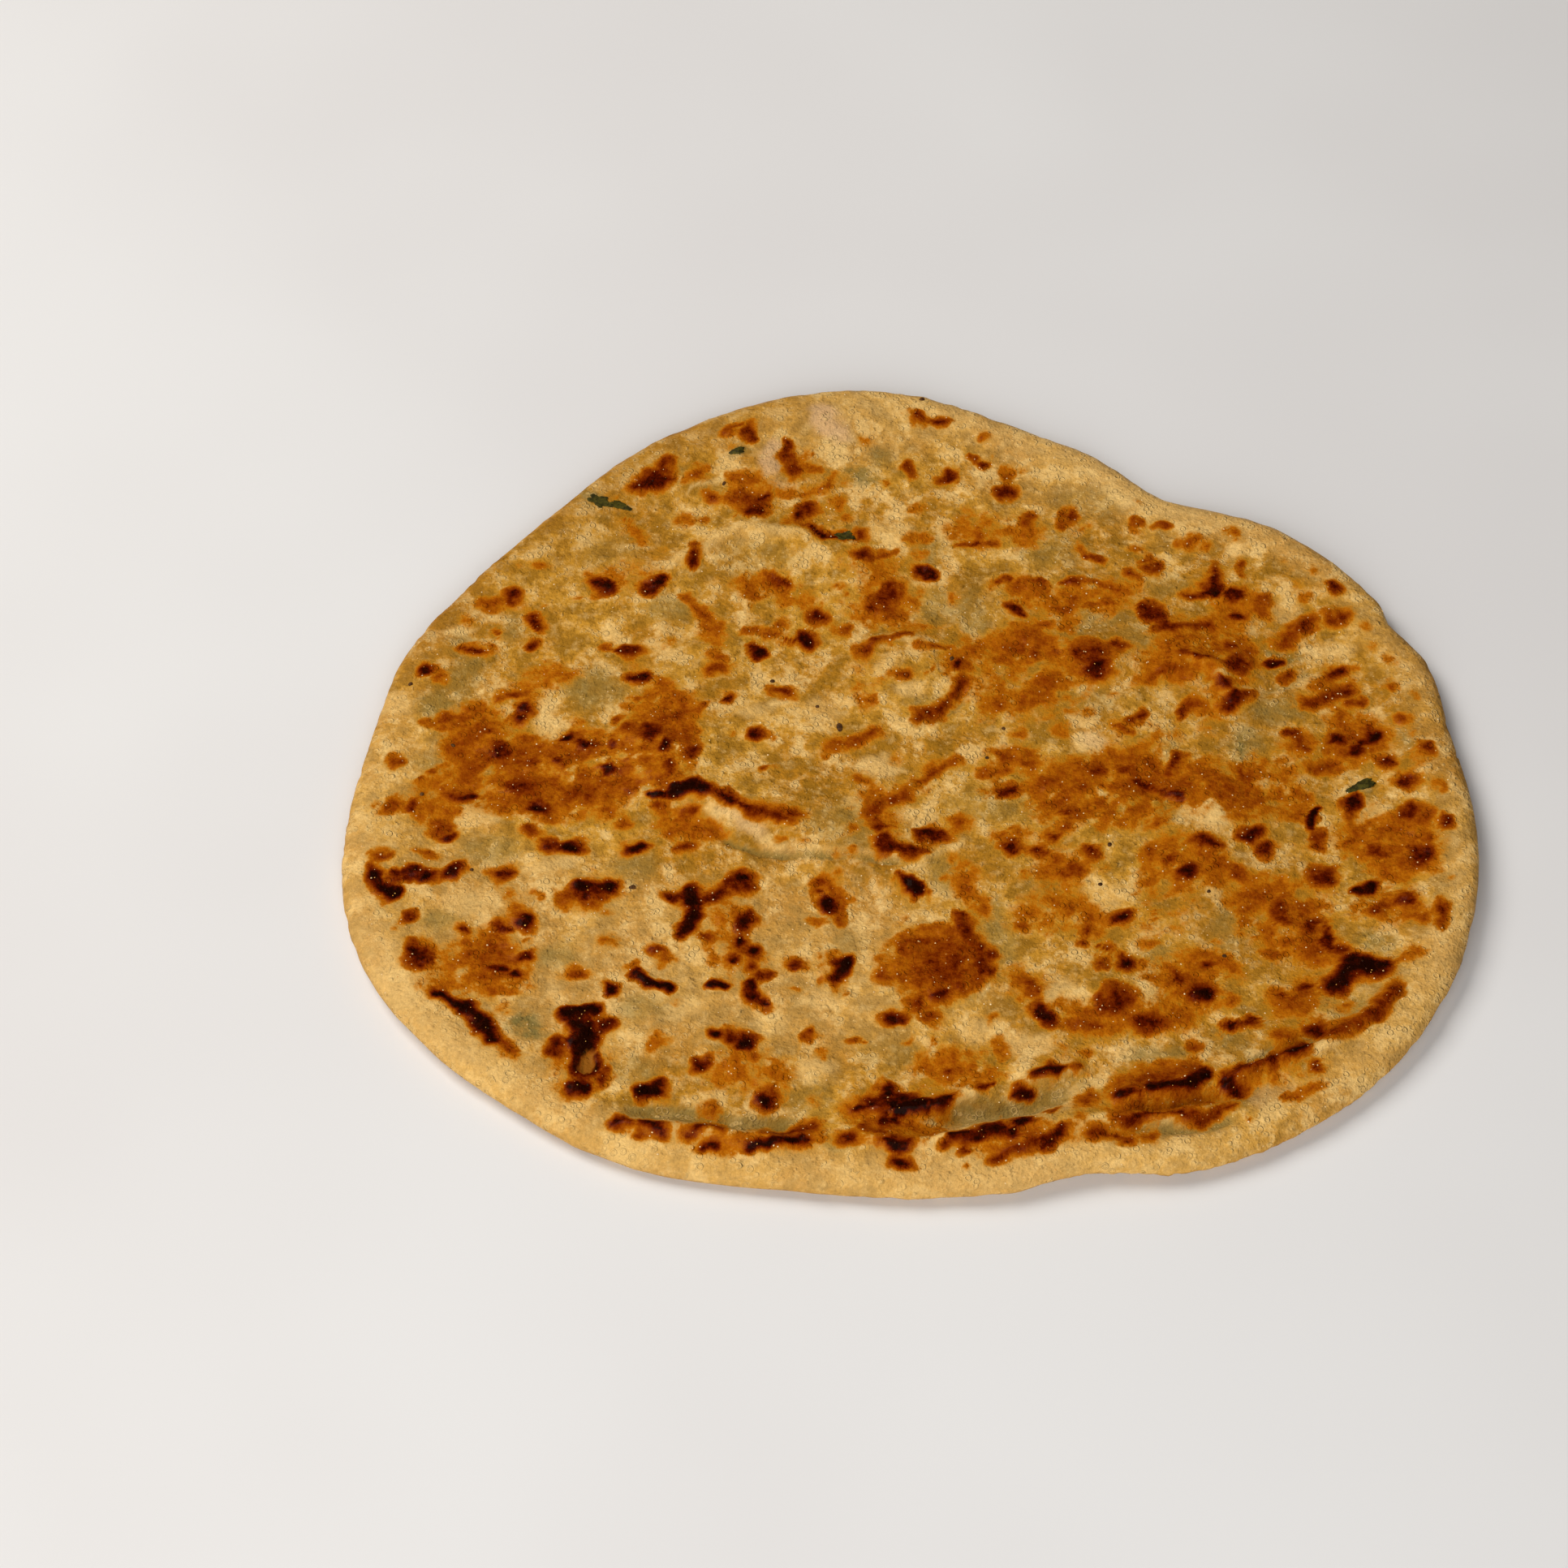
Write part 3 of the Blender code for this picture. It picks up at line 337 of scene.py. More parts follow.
# Soft stains in and under the skin, by tint: x, y, half length, half width, turn, strength. Some rows paint light and
# shade instead: see the notes on the cream, olive and deep tints.
STAINS = {
    Tint.AMBER: (
        (-66, -4, 20, 10, 10, 0.56), (-82, 3, 8, 6, -20, 0.52), (-45, 5, 5, 12, -8, 0.52), (-42, -16, 7, 4, -8, 0.42),
        (-90, -12, 5, 8, 20, 0.4), (-60, -34, 8, 3, 0, 0.36), (-75, -53, 5, 5, 0, 0.44), (-77, -45, 3, 5, 10, 0.36),
        (-34, -43, 5, 10, 10, 0.3), (-50, 14, 4, 8, -20, 0.38), (-25, 42, 9, 4, -12, 0.38), (-38, 29, 3, 7, 10, 0.4),
        (-5, 39, 8, 5, 0, 0.42), (-7, 50, 6, 4, -20, 0.36), (0, 34, 9, 3, -12, 0.28), (22, 43, 7, 3, 0, 0.4),
        (36, 40, 12, 5, 10, 0.36), (25, 31, 9, 5, 20, 0.34), (14, 24, 7, 6, 0, 0.36), (24, 14, 12, 6, 15, 0.36),
        (55, 33, 8, 3, 0, 0.42), (67, 38, 6, 5, 0, 0.42), (62, 24, 7, 7, 0, 0.44), (49, 21, 6, 3, 20, 0.34),
        (55, 10, 5, 5, 0, 0.28), (47, 4, 5, 6, 0, 0.24), (36, -8, 15, 9, 10, 0.5), (20, 0, 6, 3, 0, 0.34),
        (63, -8, 14, 7, -15, 0.44), (45, -12, 5, 4, 0, 0.38), (3, -4, 7, 3, 35, 0.34), (-6, -13, 4, 7, 10, 0.4),
        (11, -31, 3, 8, 25, 0.42), (28, -38, 9, 6, 0, 0.36), (28, -26, 5, 5, 0, 0.38), (47, -33, 7, 8, 0, 0.36),
        (70, -39, 9, 9, 0, 0.5), (64, -32, 5, 5, 0, 0.46), (70, -57, 6, 5, 0, 0.44), (-82, -50, 9, 7, 20, 0.46), (-82, -4, 8, 6, 0, 0.34), (52, -24, 9, 6, 0, 0.46),
        (28, 24, 9, 7, 0, 0.44), (52, -50, 9, 5, 0, 0.4), (52, 26, 8, 5, 0, 0.36), (-30, -72, 8, 5, 0, 0.34), (-54, 46, 8, 5, 0, 0.2), (48, -58, 5, 6, 0, 0.42),
        (88, -35, 7, 4, 20, 0.36), (90, -20, 10, 9, 0, 0.42), (86, 4, 7, 5, 30, 0.44), (70, 0, 7, 4, 10, 0.36),
        (80, 16, 7, 3, 25, 0.42), (8, -71, 9, 5, 0, 0.36), (32, -60, 10, 4, 0, 0.44), (20, -54, 4, 5, 0, 0.42),
        (44, -78, 12, 4, 8, 0.42), (18, -87, 9, 3, 12, 0.4), (-4, -82, 10, 5, -4, 0.42), (-28, -87, 9, 2, 5, 0.36),
        (-61, -70, 6, 7, 0, 0.36), (-85, 10, 7, 4, 20, 0.4), (-70, 20, 7, 4, 10, 0.32), (65, -73, 9, 2, 14, 0.42),
        (-31, 68, 5, 6, 20, 0.38), (-22, 77, 3, 6, 10, 0.3), (14, 60, 6, 5, 0, 0.3), (24, 58, 4, 5, 0, 0.34),
        (58, 15, 5, 8, 20, 0.3), (-5, -48, 3, 5, 0, 0.3), (76, -46, 6, 3, 0, 0.44), (-8, 20, 3, 8, 0, 0.24),
    ),
    # Mostly raw cream dough; the thin rows along the near pleats, at (25, -80), (12, -82) and (70, -65), paint the lit
    # side of their crests.
    Tint.CREAM_AND_HIGHLIGHT: (
        (57, -12.6, 5, 3.4, -30, 1.0), (-24.6, 13.4, 1.8, 1.3, 0, 0.9), (-30, 12, 3, 1.8, 0, 0.6),
        (-17, 12, 5, 3, 0, 0.4), (1, 17.4, 3, 2, 20, 0.7), (-4, 23.5, 2.5, 1.4, 30, 0.6), (-6, -1.5, 4, 2.4, -20, 0.8),
        (35.5, 3.5, 3.6, 2.4, -30, 0.8), (-99, 13, 3.4, 3, 0, 0.6), (-88, 32, 3, 0.8, 0, 0.8), (-70, 8, 1.8, 5, 0, 0.7),
        (-82, -14, 4, 2.6, 0, 0.6), (-68, -26, 6, 1.8, 10, 0.6), (-82, -34, 6, 3, 0, 0.5), (-100, -34, 3, 1.2, 0, 0.6),
        (-80, -52, 4, 3, 0, 0.5), (-66, -55, 1.6, 3, 0, 0.5), (-51, -48, 2, 1, 0, 0.7), (-17, -57, 4, 1.6, 0, 0.6),
        (-18, -72, 4, 2.4, 0, 0.6), (12, -63, 5, 2.6, 0, 0.5), (27, -55, 3.4, 3.4, 0, 0.7), (43, -54, 2.4, 5, 0, 0.7),
        (20, -66.5, 5, 2.4, 0, 0.6), (88, -15, 3.4, 4, 0, 0.5), (-13, 82, 2.4, 4, 0, 0.5), (-3, 58, 5, 2.6, 0, 0.5),
        (38, 73, 2, 1, -30, 1.0), (43.5, 67.4, 3.6, 1.6, -30, 0.8), (66.5, 53, 1.8, 2, 0, 0.7), (75, 38, 2.6, 4, 0, 0.4),
        (83, 27, 5, 2, 10, 0.5), (-42, -58, 4, 2, 0, 0.4), (27, -23.6, 2.6, 1.4, 0, 0.7), (36, -33, 4, 3, 20, 0.4),
        (-9.5, -40, 1, 4, 0, 0.6), (-27, -61, 3, 3, 0, 0.5), (16, 72.6, 1.2, 3, 0, 0.7), (-40, 71, 5, 0.6, 25, 0.7),
        (4.4, 44.2, 3, 0.7, 0, 0.8), (-30, 57, 6, 3, 0, 0.3), (-97, -52, 8, 3, -35, 0.4), (-52, -88, 6, 2, -10, 0.5),
        (-52, 0, 2.2, 1.8, 0, 0.9), (53, -5, 1.4, 0.9, 0, 0.8), (0, -13.4, 2.6, 1.4, 20, 0.7), (-10, -12, 1.4, 3, 35, 0.6),
        (70, -65, 6, 1, 25, 0.6), (25, -80, 8, 1.4, 12, 0.5), (12, -82, 8, 1.4, 12, 0.6), (66, -22.8, 5, 0.8, 0, 0.4),
    ),
    # Mostly greenish filling under thin skin; the rows in the troughs of the near pleats, at (-36, -83), (-14, -88),
    # (9, -80) and (26, -76), paint shade.
    Tint.OLIVE_AND_SHADE: (
        (-12, -16, 8, 5, -20, 0.5), (6, -28, 2.6, 5, 0, 0.6), (16, -42, 2.6, 7, 10, 0.7), (-12, -44, 3, 4, 0, 0.3),
        (58, -41, 3, 6, 0, 0.5), (57, -25, 3, 2, 0, 0.7), (45.5, -46, 3, 2, 0, 0.7), (-61, 17, 6, 5, 0, 0.7),
        (-86, 21, 3.4, 6, 0, 0.6), (-91, 13, 4, 3.4, 0, 0.8), (-88, 29, 4, 2, 0, 0.6), (-77, 33, 2, 4, 0, 0.6),
        (-47, 38, 5, 4, 0, 0.6), (6, 38, 5, 5, 0, 0.5), (13, 36, 3, 6, 0, 0.6), (37, 35, 6, 2.6, 0, 0.6),
        (46, 30, 4, 5, 0, 0.4), (65, 4, 3, 5, 0, 0.7), (73, 12.6, 6, 3, 10, 0.7), (36, 14, 6, 4, 0, 0.4),
        (-101, -36, 2.6, 2.6, 0, 0.5), (-88, -38, 4, 2, 0, 0.7), (-80, -22, 6, 3, 0, 0.6), (-66, -47, 4, 2.6, 0, 0.7),
        (-50, -58, 4, 3, 0, 0.6), (-52, -26, 4, 4, 0, 0.6), (-52, -72, 5, 2.6, 0, 0.5), (-33, -70, 4, 3, 0, 0.6),
        (-36, -83, 10, 1.2, 0, 0.7), (-14, -88, 3, 1.6, 0, 0.7), (-20, -78, 5, 4, 0, 0.4), (43, -69, 5, 1.8, 0, 0.8),
        (10, -55, 3, 2, 0, 0.5), (9, -80, 8, 1.6, 12, 0.6), (26, -76, 6, 2, 12, 0.5), (57, -66, 4, 3, 0, 0.4),
        (79, -58, 4, 2.6, 30, 0.6), (62, -78, 6, 2.4, 15, 0.4), (72, -13, 2.4, 3.4, 0, 0.6), (5, 53, 3, 4, 0, 0.5),
        (30, 53, 8, 5, 0, 0.4), (38, 66, 6, 4, 0, 0.4), (52, 44, 5, 2.6, 0, 0.4), (96, 5, 3, 2.6, 0, 0.5),
        (88.6, 14, 1, 3, 0, 0.5), (12, -12, 5, 4, 0, 0.4), (20, -12, 5, 3, 0, 0.4), (3, 14, 5, 2, 0, 0.4),
        (-38, 68.6, 2.6, 2, 0, 0.8), (-46, 73.5, 1.4, 1.6, 0, 0.6), (-30, 50, 8, 6, 0, 0.3), (-58, 52, 6, 5, 0, 0.3),
        (15, -35, 2, 2, 0, 0.7), (-92, -1.6, 3, 1.2, 0, 0.6), (47, -15, 2.4, 1.6, 0, 0.8), (50, 3, 2, 4, 0, 0.5),
        (82, -58, 3, 2, 30, 0.5), (99, -33, 2, 2, 0, 0.3), (24, -33, 2, 4, 20, 0.4), (-4, -68, 6, 3, 0, 0.3),
    ),
    Tint.GREEN: (
        (-71.4, -62, 3.4, 2.4, -30, 1.0), (-62.4, 66.5, 3, 1.6, -15, 0.7), (-8, 73, 4, 2.4, -30, 0.8),
        (-4.4, 77.5, 2, 2.6, 0, 0.6), (-33.2, 79.2, 2, 1.1, 15, 0.9), (33, 32.4, 2.2, 1.8, 0, 0.8),
        (-11.8, 56.8, 2.2, 1.4, 0, 0.9), (63.6, 2.6, 1, 3, 0, 1.0), (86, -43, 4, 2.2, 0, 0.7), (49, -13.6, 2, 1.4, 0, 0.8),
        (74, 25.6, 3.6, 1.4, -15, 0.9), (58, 28.6, 2.4, 1.2, 0, 0.6), (40, -6.8, 2.4, 1.3, 0, 0.5),
        (85.6, -8.6, 3.4, 1.6, 10, 0.5), (-49.4, -6.6, 2.2, 1.4, 20, 0.6), (67.4, 34, 1.4, 2, 0, 0.4),
        (-68, -64, 1.6, 1.2, 0, 0.5), (95.6, 5, 1.6, 1.4, 0, 0.4), (-60, 61.6, 1.6, 1.2, 0, 0.4),
    ),
    Tint.ONION: (
        (-15, 87.4, 5.4, 3, -58, 1.0), (-27, 77, 5.6, 2.4, 82, 0.9), (-24, 70, 3, 1.6, 0, 0.5),
        (36, 4.4, 3, 1.6, -30, 0.5), (-31, -16, 3.6, 2.4, -38, 0.5), (-35, -13, 2, 1.2, -40, 0.4),
        (64, -77.4, 5, 2, 15, 0.3), (-12, 83, 2, 1.6, 0, 0.6),
    ),
    Tint.PALE: (
        (-72, -50, 34, 26, 0, 0.75), (-25, -50, 28, 20, 0, 0.75), (0, -52, 16, 14, 0, 0.35), (27, 74, 14, 9, -22, 0.6), (0, 92, 20, 8, -4, 1.0), (-14, 84, 22, 8, 0, 0.6),
        (54, 67, 15, 9, -26, 0.7), (-95, -12, 14, 20, 0, 0.5), (90, -60, 12, 22, -30, 0.5), (20, -92, 40, 7, 8, 0.5),
    ),
    # Deeper golden dough; the rows at the back left, along the rim, also paint the shade that lies there.
    Tint.DEEP_TONE_AND_SHADE: (
        (30, 38, 20, 11, 0, 0.6), (60, 22, 14, 17, 0, 0.58), (62, -34, 16, 20, 0, 0.56), 
        (-42, 20, 16, 14, 0, 0.26), (27, 20, 9, 8, 0, 0.4), (-82, -44, 12, 10, 0, 0.3), (-72, 66, 12, 8, 40, 0.8), (-58, 77, 16, 7, 36, 0.95), (-82, 58, 12, 7, 58, 0.9),
        (-94, 34, 8, 16, -14, 0.7), (102, 6, 6, 20, 0, 0.45), (-34, 88, 16, 6, 20, 0.7), (-64, 74, 14, 7, 46, 0.95),
        (-90, 46, 14, 8, 58, 0.95), (-58, 52, 14, 8, 20, 0.6), (98, 28, 7, 12, 0, 0.4), (8, -25, 20, 12, 0, 0.26), (84, 14, 8, 16, 0, 0.3),
    ),
}

# The pale inner dough that shows on the steep side of the lapped seam, partly a painted highlight on that near-facing
# slope.
PALE_LAP_AND_HIGHLIGHT = Streak(1.6, 1.0, ((-38, -12.6), (-33, -15.4), (-29, -18.6), (-25, -21.6), (-18.4, -22.2)))

# How pale the rim is painted, by bearing in degrees from the disc's middle: its paler dough together with painted
# light, high on the near side, where it paints bounced light, and nil at the back left, where it paints shade.
RIM_PALENESS_AND_LIGHT = (
    (0, 0.2), (30, 0.55), (50, 1.0), (75, 0.7), (100, 0.1), (150, 0.0), (170, 0.1), (190, 0.55), (215, 0.9),
    (265, 0.72), (282, 1.0), (305, 0.25), (340, 0.7),
)

# A blister that burst: its floor shows tan inside the black ring.
BURST = Spot(-59.6, -70.4, 1.15, 2.1, -6, 1.0)

PLEATS = (
    Pleat(0.5, 1.3, 2.6, ((-50, -9.2), (-43, -7.2), (-34, -10.6), (-25, -15), (-17, -18.4))),
    Pleat(-0.55, 0.8, 0.9, ((-41, -13), (-35, -19.4), (-29, -22.6), (-18, -23.2), (-8, -24.1), (3, -25))),
    Pleat(0.35, 0.8, 2.6, ((-30, -21.8), (-18, -22.4), (-8, -23.2), (4, -24))),
    Pleat(0.8, 1.2, 1.7, ((-57, -84), (-50, -84.4), (-40, -85), (-28, -87.4), (-19, -86.6))),
    Pleat(-0.7, 1.4, 1.6, ((-56, -81.4), (-44, -81.6), (-30, -83.4), (-16, -84))),
    Pleat(0.75, 1.1, 1.6, ((-14, -86.8), (-4, -87.8), (3, -87.6), (12, -85.6), (21, -83.6), (28, -81))),
    Pleat(0.8, 1.1, 1.6, ((12, -91.6), (20, -88), (27, -84.4), (36, -82.7), (47, -82), (58, -80.2))),
    Pleat(-0.9, 1.5, 1.8, ((0, -83.4), (10, -81.6), (20, -79.6), (30, -76.4))),
    Pleat(0.7, 1.2, 1.6, ((-11, -80), (0, -80.4), (8, -78.4), (14, -76))),
    Pleat(0.7, 1.2, 1.6, ((15, -78), (22, -73.6), (32, -71.6))),
    Pleat(0.85, 1.2, 1.8, ((34, -78), (40, -77), (47, -76), (54, -72.8))),
    Pleat(-0.8, 1.3, 1.4, ((36, -79.8), (46, -79.2), (56, -77.4), (64, -74.6))),
    Pleat(0.85, 1.2, 1.8, ((55, -75), (61, -71.6), (67, -68.8), (74, -67), (80, -64))),
    Pleat(0.7, 1.2, 1.8, ((74, -65.4), (80, -62.6), (85, -58), (89, -52.6))),
    Pleat(-0.7, 1.2, 1.4, ((56, -72.6), (62, -69.4), (68, -66.6), (78, -61.6))),
    Pleat(-0.6, 1.3, 1.4, ((28, -84.6), (38, -84.6), (50, -84), (60, -81.6))),
    Pleat(0.45, 1.2, 3.0, ((-15, 53), (-21, 57.6), (-33, 60.4), (-42, 53), (-52, 45.6))),
    Pleat(-0.3, 0.9, 0.9, ((-19.6, 59.2), (-16, 57), (-10, 56.4), (-6, 56.6))),
    Pleat(0.4, 1.2, 2.0, ((-9, 25.6), (-6.2, 28.6), (-1, 30.2), (6, 28.2))),
    Pleat(-0.4, 0.9, 1.2, ((2, 9.4), (6.6, 9.8), (10, 14), (12, 19))),
    Pleat(0.4, 1.2, 2.2, ((46, 18.4), (50, 22), (55, 24.6), (60, 22), (61.6, 16), (64, 12.4))),
    Pleat(-0.35, 1.0, 1.2, ((44, -6.6), (48, -9.4), (53, -10.8))),
    Pleat(0.3, 1.2, 2.0, ((76, 29), (80, 34.6), (86, 38))),
    Pleat(-0.3, 1.2, 1.4, ((66, 14.6), (74, 18), (80, 24))),
    Pleat(0.35, 1.2, 2.0, ((0, -25), (8, -22), (12, -17))),
)

# Coriander leaf bits that lie on the crust: x, y, half length, half width, turn in degrees, lobes.
LEAVES = (
    (-61.2, 65.2, 2.4, 1.4, -28, 5), (-57.0, 64.4, 2.2, 0.9, -14, 3), (-11.8, 56.7, 1.9, 1.2, 4, 4),
    (86.2, -6.9, 2.9, 1.1, 24, 3), (-33.4, 79.3, 1.6, 0.8, 22, 3),
)

# Spice seeds pressed into the crust: x, y, half length, half width, turn.
SEEDS = (
    (-13.3, 7.4, 1.1, 0.6, 96), (37.4, -21.2, 0.5, 0.4, 70), (35.3, -30.4, 0.45, 0.4, 0),
    (55.5, -32, 0.4, 0.35, 30), (-96.5, 17.6, 0.5, 0.4, 40), (-52.3, -31, 0.7, 0.5, 10),
    (-36.1, 70.8, 0.6, 0.35, 70), (18.4, 7.5, 0.4, 0.35, 0), (15, 0.2, 0.4, 0.35, 0), (-87.6, 3.1, 0.5, 0.35, -40),
    (57.5, -46.5, 0.45, 0.4, 0), (-82.6, -27, 0.4, 0.35, 0), (-93, -8.8, 0.5, 0.4, 60),
    (8.8, 24.6, 0.6, 0.4, 70), (-17.5, 12.6, 0.4, 0.35, 0), (4.4, 93.4, 0.6, 0.5, 20), (-26.2, 19.2, 0.5, 0.4, 0),
)


def srgb(red: float, green: float, blue: float) -> tuple[float, float, float, float]:
    """Turn a colour on the 0 to 255 display scale into the linear colour that a shader takes.

    Args:
        red: Red on the display scale.
        green: Green on the display scale.
        blue: Blue on the display scale.

    Returns:
        The linear colour with full alpha.
    """
    shares = (channel / 255.0 for channel in (red, green, blue))
    linear = [s / 12.92 if s <= 0.04045 else ((s + 0.055) / 1.055) ** 2.4 for s in shares]
    return (*linear, 1.0)


def rise(value: np.ndarray, low: float, high: float) -> np.ndarray:
    """Smooth step from 0 at the low value to 1 at the high one; low may be the larger number.

    Args:
        value: Numbers to map.
        low: Value that gives 0.
        high: Value that gives 1.

    Returns:
        Numbers between 0 and 1.
    """
    share = np.clip((value - low) / (high - low), 0.0, 1.0)
    return share * share * (3.0 - 2.0 * share)


def oval_gap(x: np.ndarray, y: np.ndarray, spot: Spot) -> np.ndarray:
    """Distance from an oval's outline in mm, negative inside it.

    Args:
        x: Places across the disc.
        y: Places up the disc.
        spot: The oval.

    Returns:
        One distance for each place.
    """
    turn = math.radians(spot.turn)
    along = (x - spot.x) * math.cos(turn) + (y - spot.y) * math.sin(turn)
    across = (y - spot.y) * math.cos(turn) - (x - spot.x) * math.sin(turn)
    away = np.hypot(along, across)
    share = np.hypot(along / spot.length, across / spot.width)
    reach = np.where(share > 1e-6, away / np.maximum(share, 1e-6), min(spot.length, spot.width))
    return away - reach


def path_gap(x: np.ndarray, y: np.ndarray, path: tuple) -> tuple[np.ndarray, np.ndarray, np.ndarray]:
    """Measure from a path of straight runs.

    Args:
        x: Places across the disc.
        y: Places up the disc.
        path: The path's corners.

    Returns:
        The distance, the side (positive to the left) and the share of the path walked, for each place.
    """
    corners = np.array(path)
    runs = np.diff(corners, axis=0)
    lengths = np.hypot(*runs.T)
    walked = np.concatenate(([0.0], np.cumsum(lengths)))
    nearest = np.full(x.shape, np.inf)
    side = np.zeros(x.shape)
    along = np.zeros(x.shape)
    for (start_x, start_y), (run_x, run_y), length, before in zip(corners, runs, lengths, walked):
        share = np.clip(((x - start_x) * run_x + (y - start_y) * run_y) / length**2, 0.0, 1.0)
        off_x = x - start_x - share * run_x
        off_y = y - start_y - share * run_y
        gap = np.hypot(off_x, off_y)
        closer = gap < nearest
        nearest = np.where(closer, gap, nearest)
        side = np.where(closer, run_x * off_y - run_y * off_x, side)
        along = np.where(closer, (before + share * length) / walked[-1], along)
    return nearest, side, along


class Unevenness:
    """Smooth random relief over the plane, the same for the same seed."""

    CELLS = 256

    def __init__(self, seed: int) -> None:
        """Draw the lattice of random values.

        Args:
            seed: Any whole number.
        """
        self.lattice = np.random.default_rng(seed).uniform(-1.0, 1.0, (self.CELLS, self.CELLS))

    def at(self, x: np.ndarray, y: np.ndarray, grain: float) -> np.ndarray:
        """Give one value between -1 and 1 for each place.

        Args:
            x: Places across.
            y: Places up.
            grain: Size of a bump, in the units of x and y.

        Returns:
            The values.
        """
        across, up = x / grain, y / grain
        column, row = np.floor(across).astype(int), np.floor(up).astype(int)
        right, top = rise(across - column, 0.0, 1.0), rise(up - row, 0.0, 1.0)
        wrap = self.CELLS - 1
        near = self.lattice[column & wrap, row & wrap] * (1 - right) + self.lattice[(column + 1) & wrap, row & wrap] * right
        far = (
            self.lattice[column & wrap, (row + 1) & wrap] * (1 - right)
            + self.lattice[(column + 1) & wrap, (row + 1) & wrap] * right
        )
        return near * (1 - top) + far * top

    def layered(self, x: np.ndarray, y: np.ndarray, grain: float, layers: int = 3) -> np.ndarray:
        """Add finer and weaker copies of the field, each turned against the last.

        Args:
            x: Places across.
            y: Places up.
            grain: Size of the largest bump.
            layers: How many copies.

        Returns:
            The values, mostly between -1 and 1.
        """
        total = np.zeros(np.shape(x))
        weight = 1.0
        for layer in range(layers):
            turn = 0.7 + 1.1 * layer
            across = x * math.cos(turn) - y * math.sin(turn) + 31.7 * layer
            up = x * math.sin(turn) + y * math.cos(turn) + 17.3 * layer
            total += weight * self.at(across, up, grain)
            weight *= 0.5
            grain *= 0.5
        return total


class SolidProbe:
    """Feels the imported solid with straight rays, so that the skin follows it exactly."""

    FAR = 0.2

    def __init__(self, node: str) -> None:
        """Take a welded copy of the solid.

        Args:
            node: Name of the solid's node.
        """
        copy = bmesh.new()
        copy.from_mesh(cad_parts[node].data)
        bmesh.ops.remove_doubles(copy, verts=copy.verts, dist=1e-7)
        self.tree = BVHTree.FromBMesh(copy)
        copy.free()
        self.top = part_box(node)[1][2]

    def face_height(self, x: np.ndarray, y: np.ndarray, from_above: bool) -> np.ndarray:
        """Find the height of the upper or the lower face.

        Args:
            x: Places across, in metres.
            y: Places up, in metres.
            from_above: Whether to feel the upper face.

        Returns:
            One height for each place, in metres.
        """
        way = Vector((0.0, 0.0, -1.0 if from_above else 1.0))
        level = self.FAR if from_above else -self.FAR
        heights = np.zeros(x.size)
        for index, (across, up) in enumerate(zip(x.ravel(), y.ravel())):
            hit = self.tree.ray_cast(Vector((across, up, level)), way)[0]
            heights[index] = hit.z if hit else 0.0
        return heights.reshape(x.shape)

    def edge_radius(self, bearing: float) -> float:
        """Find how far the rim reaches in one direction.

        Args:
            bearing: Direction from the origin, in radians.

        Returns:
            The distance in metres.
        """
        toward = Vector((math.cos(bearing), math.sin(bearing), 0.0))
        reach = 0.0
        for step in range(1, 12):
            start = toward * self.FAR + Vector((0.0, 0.0, self.top * step / 12))
            hit = self.tree.ray_cast(start, -toward)[0]
            if hit and hit.dot(toward) > 0.0:
                reach = max(reach, hit.dot(toward))
        return reach


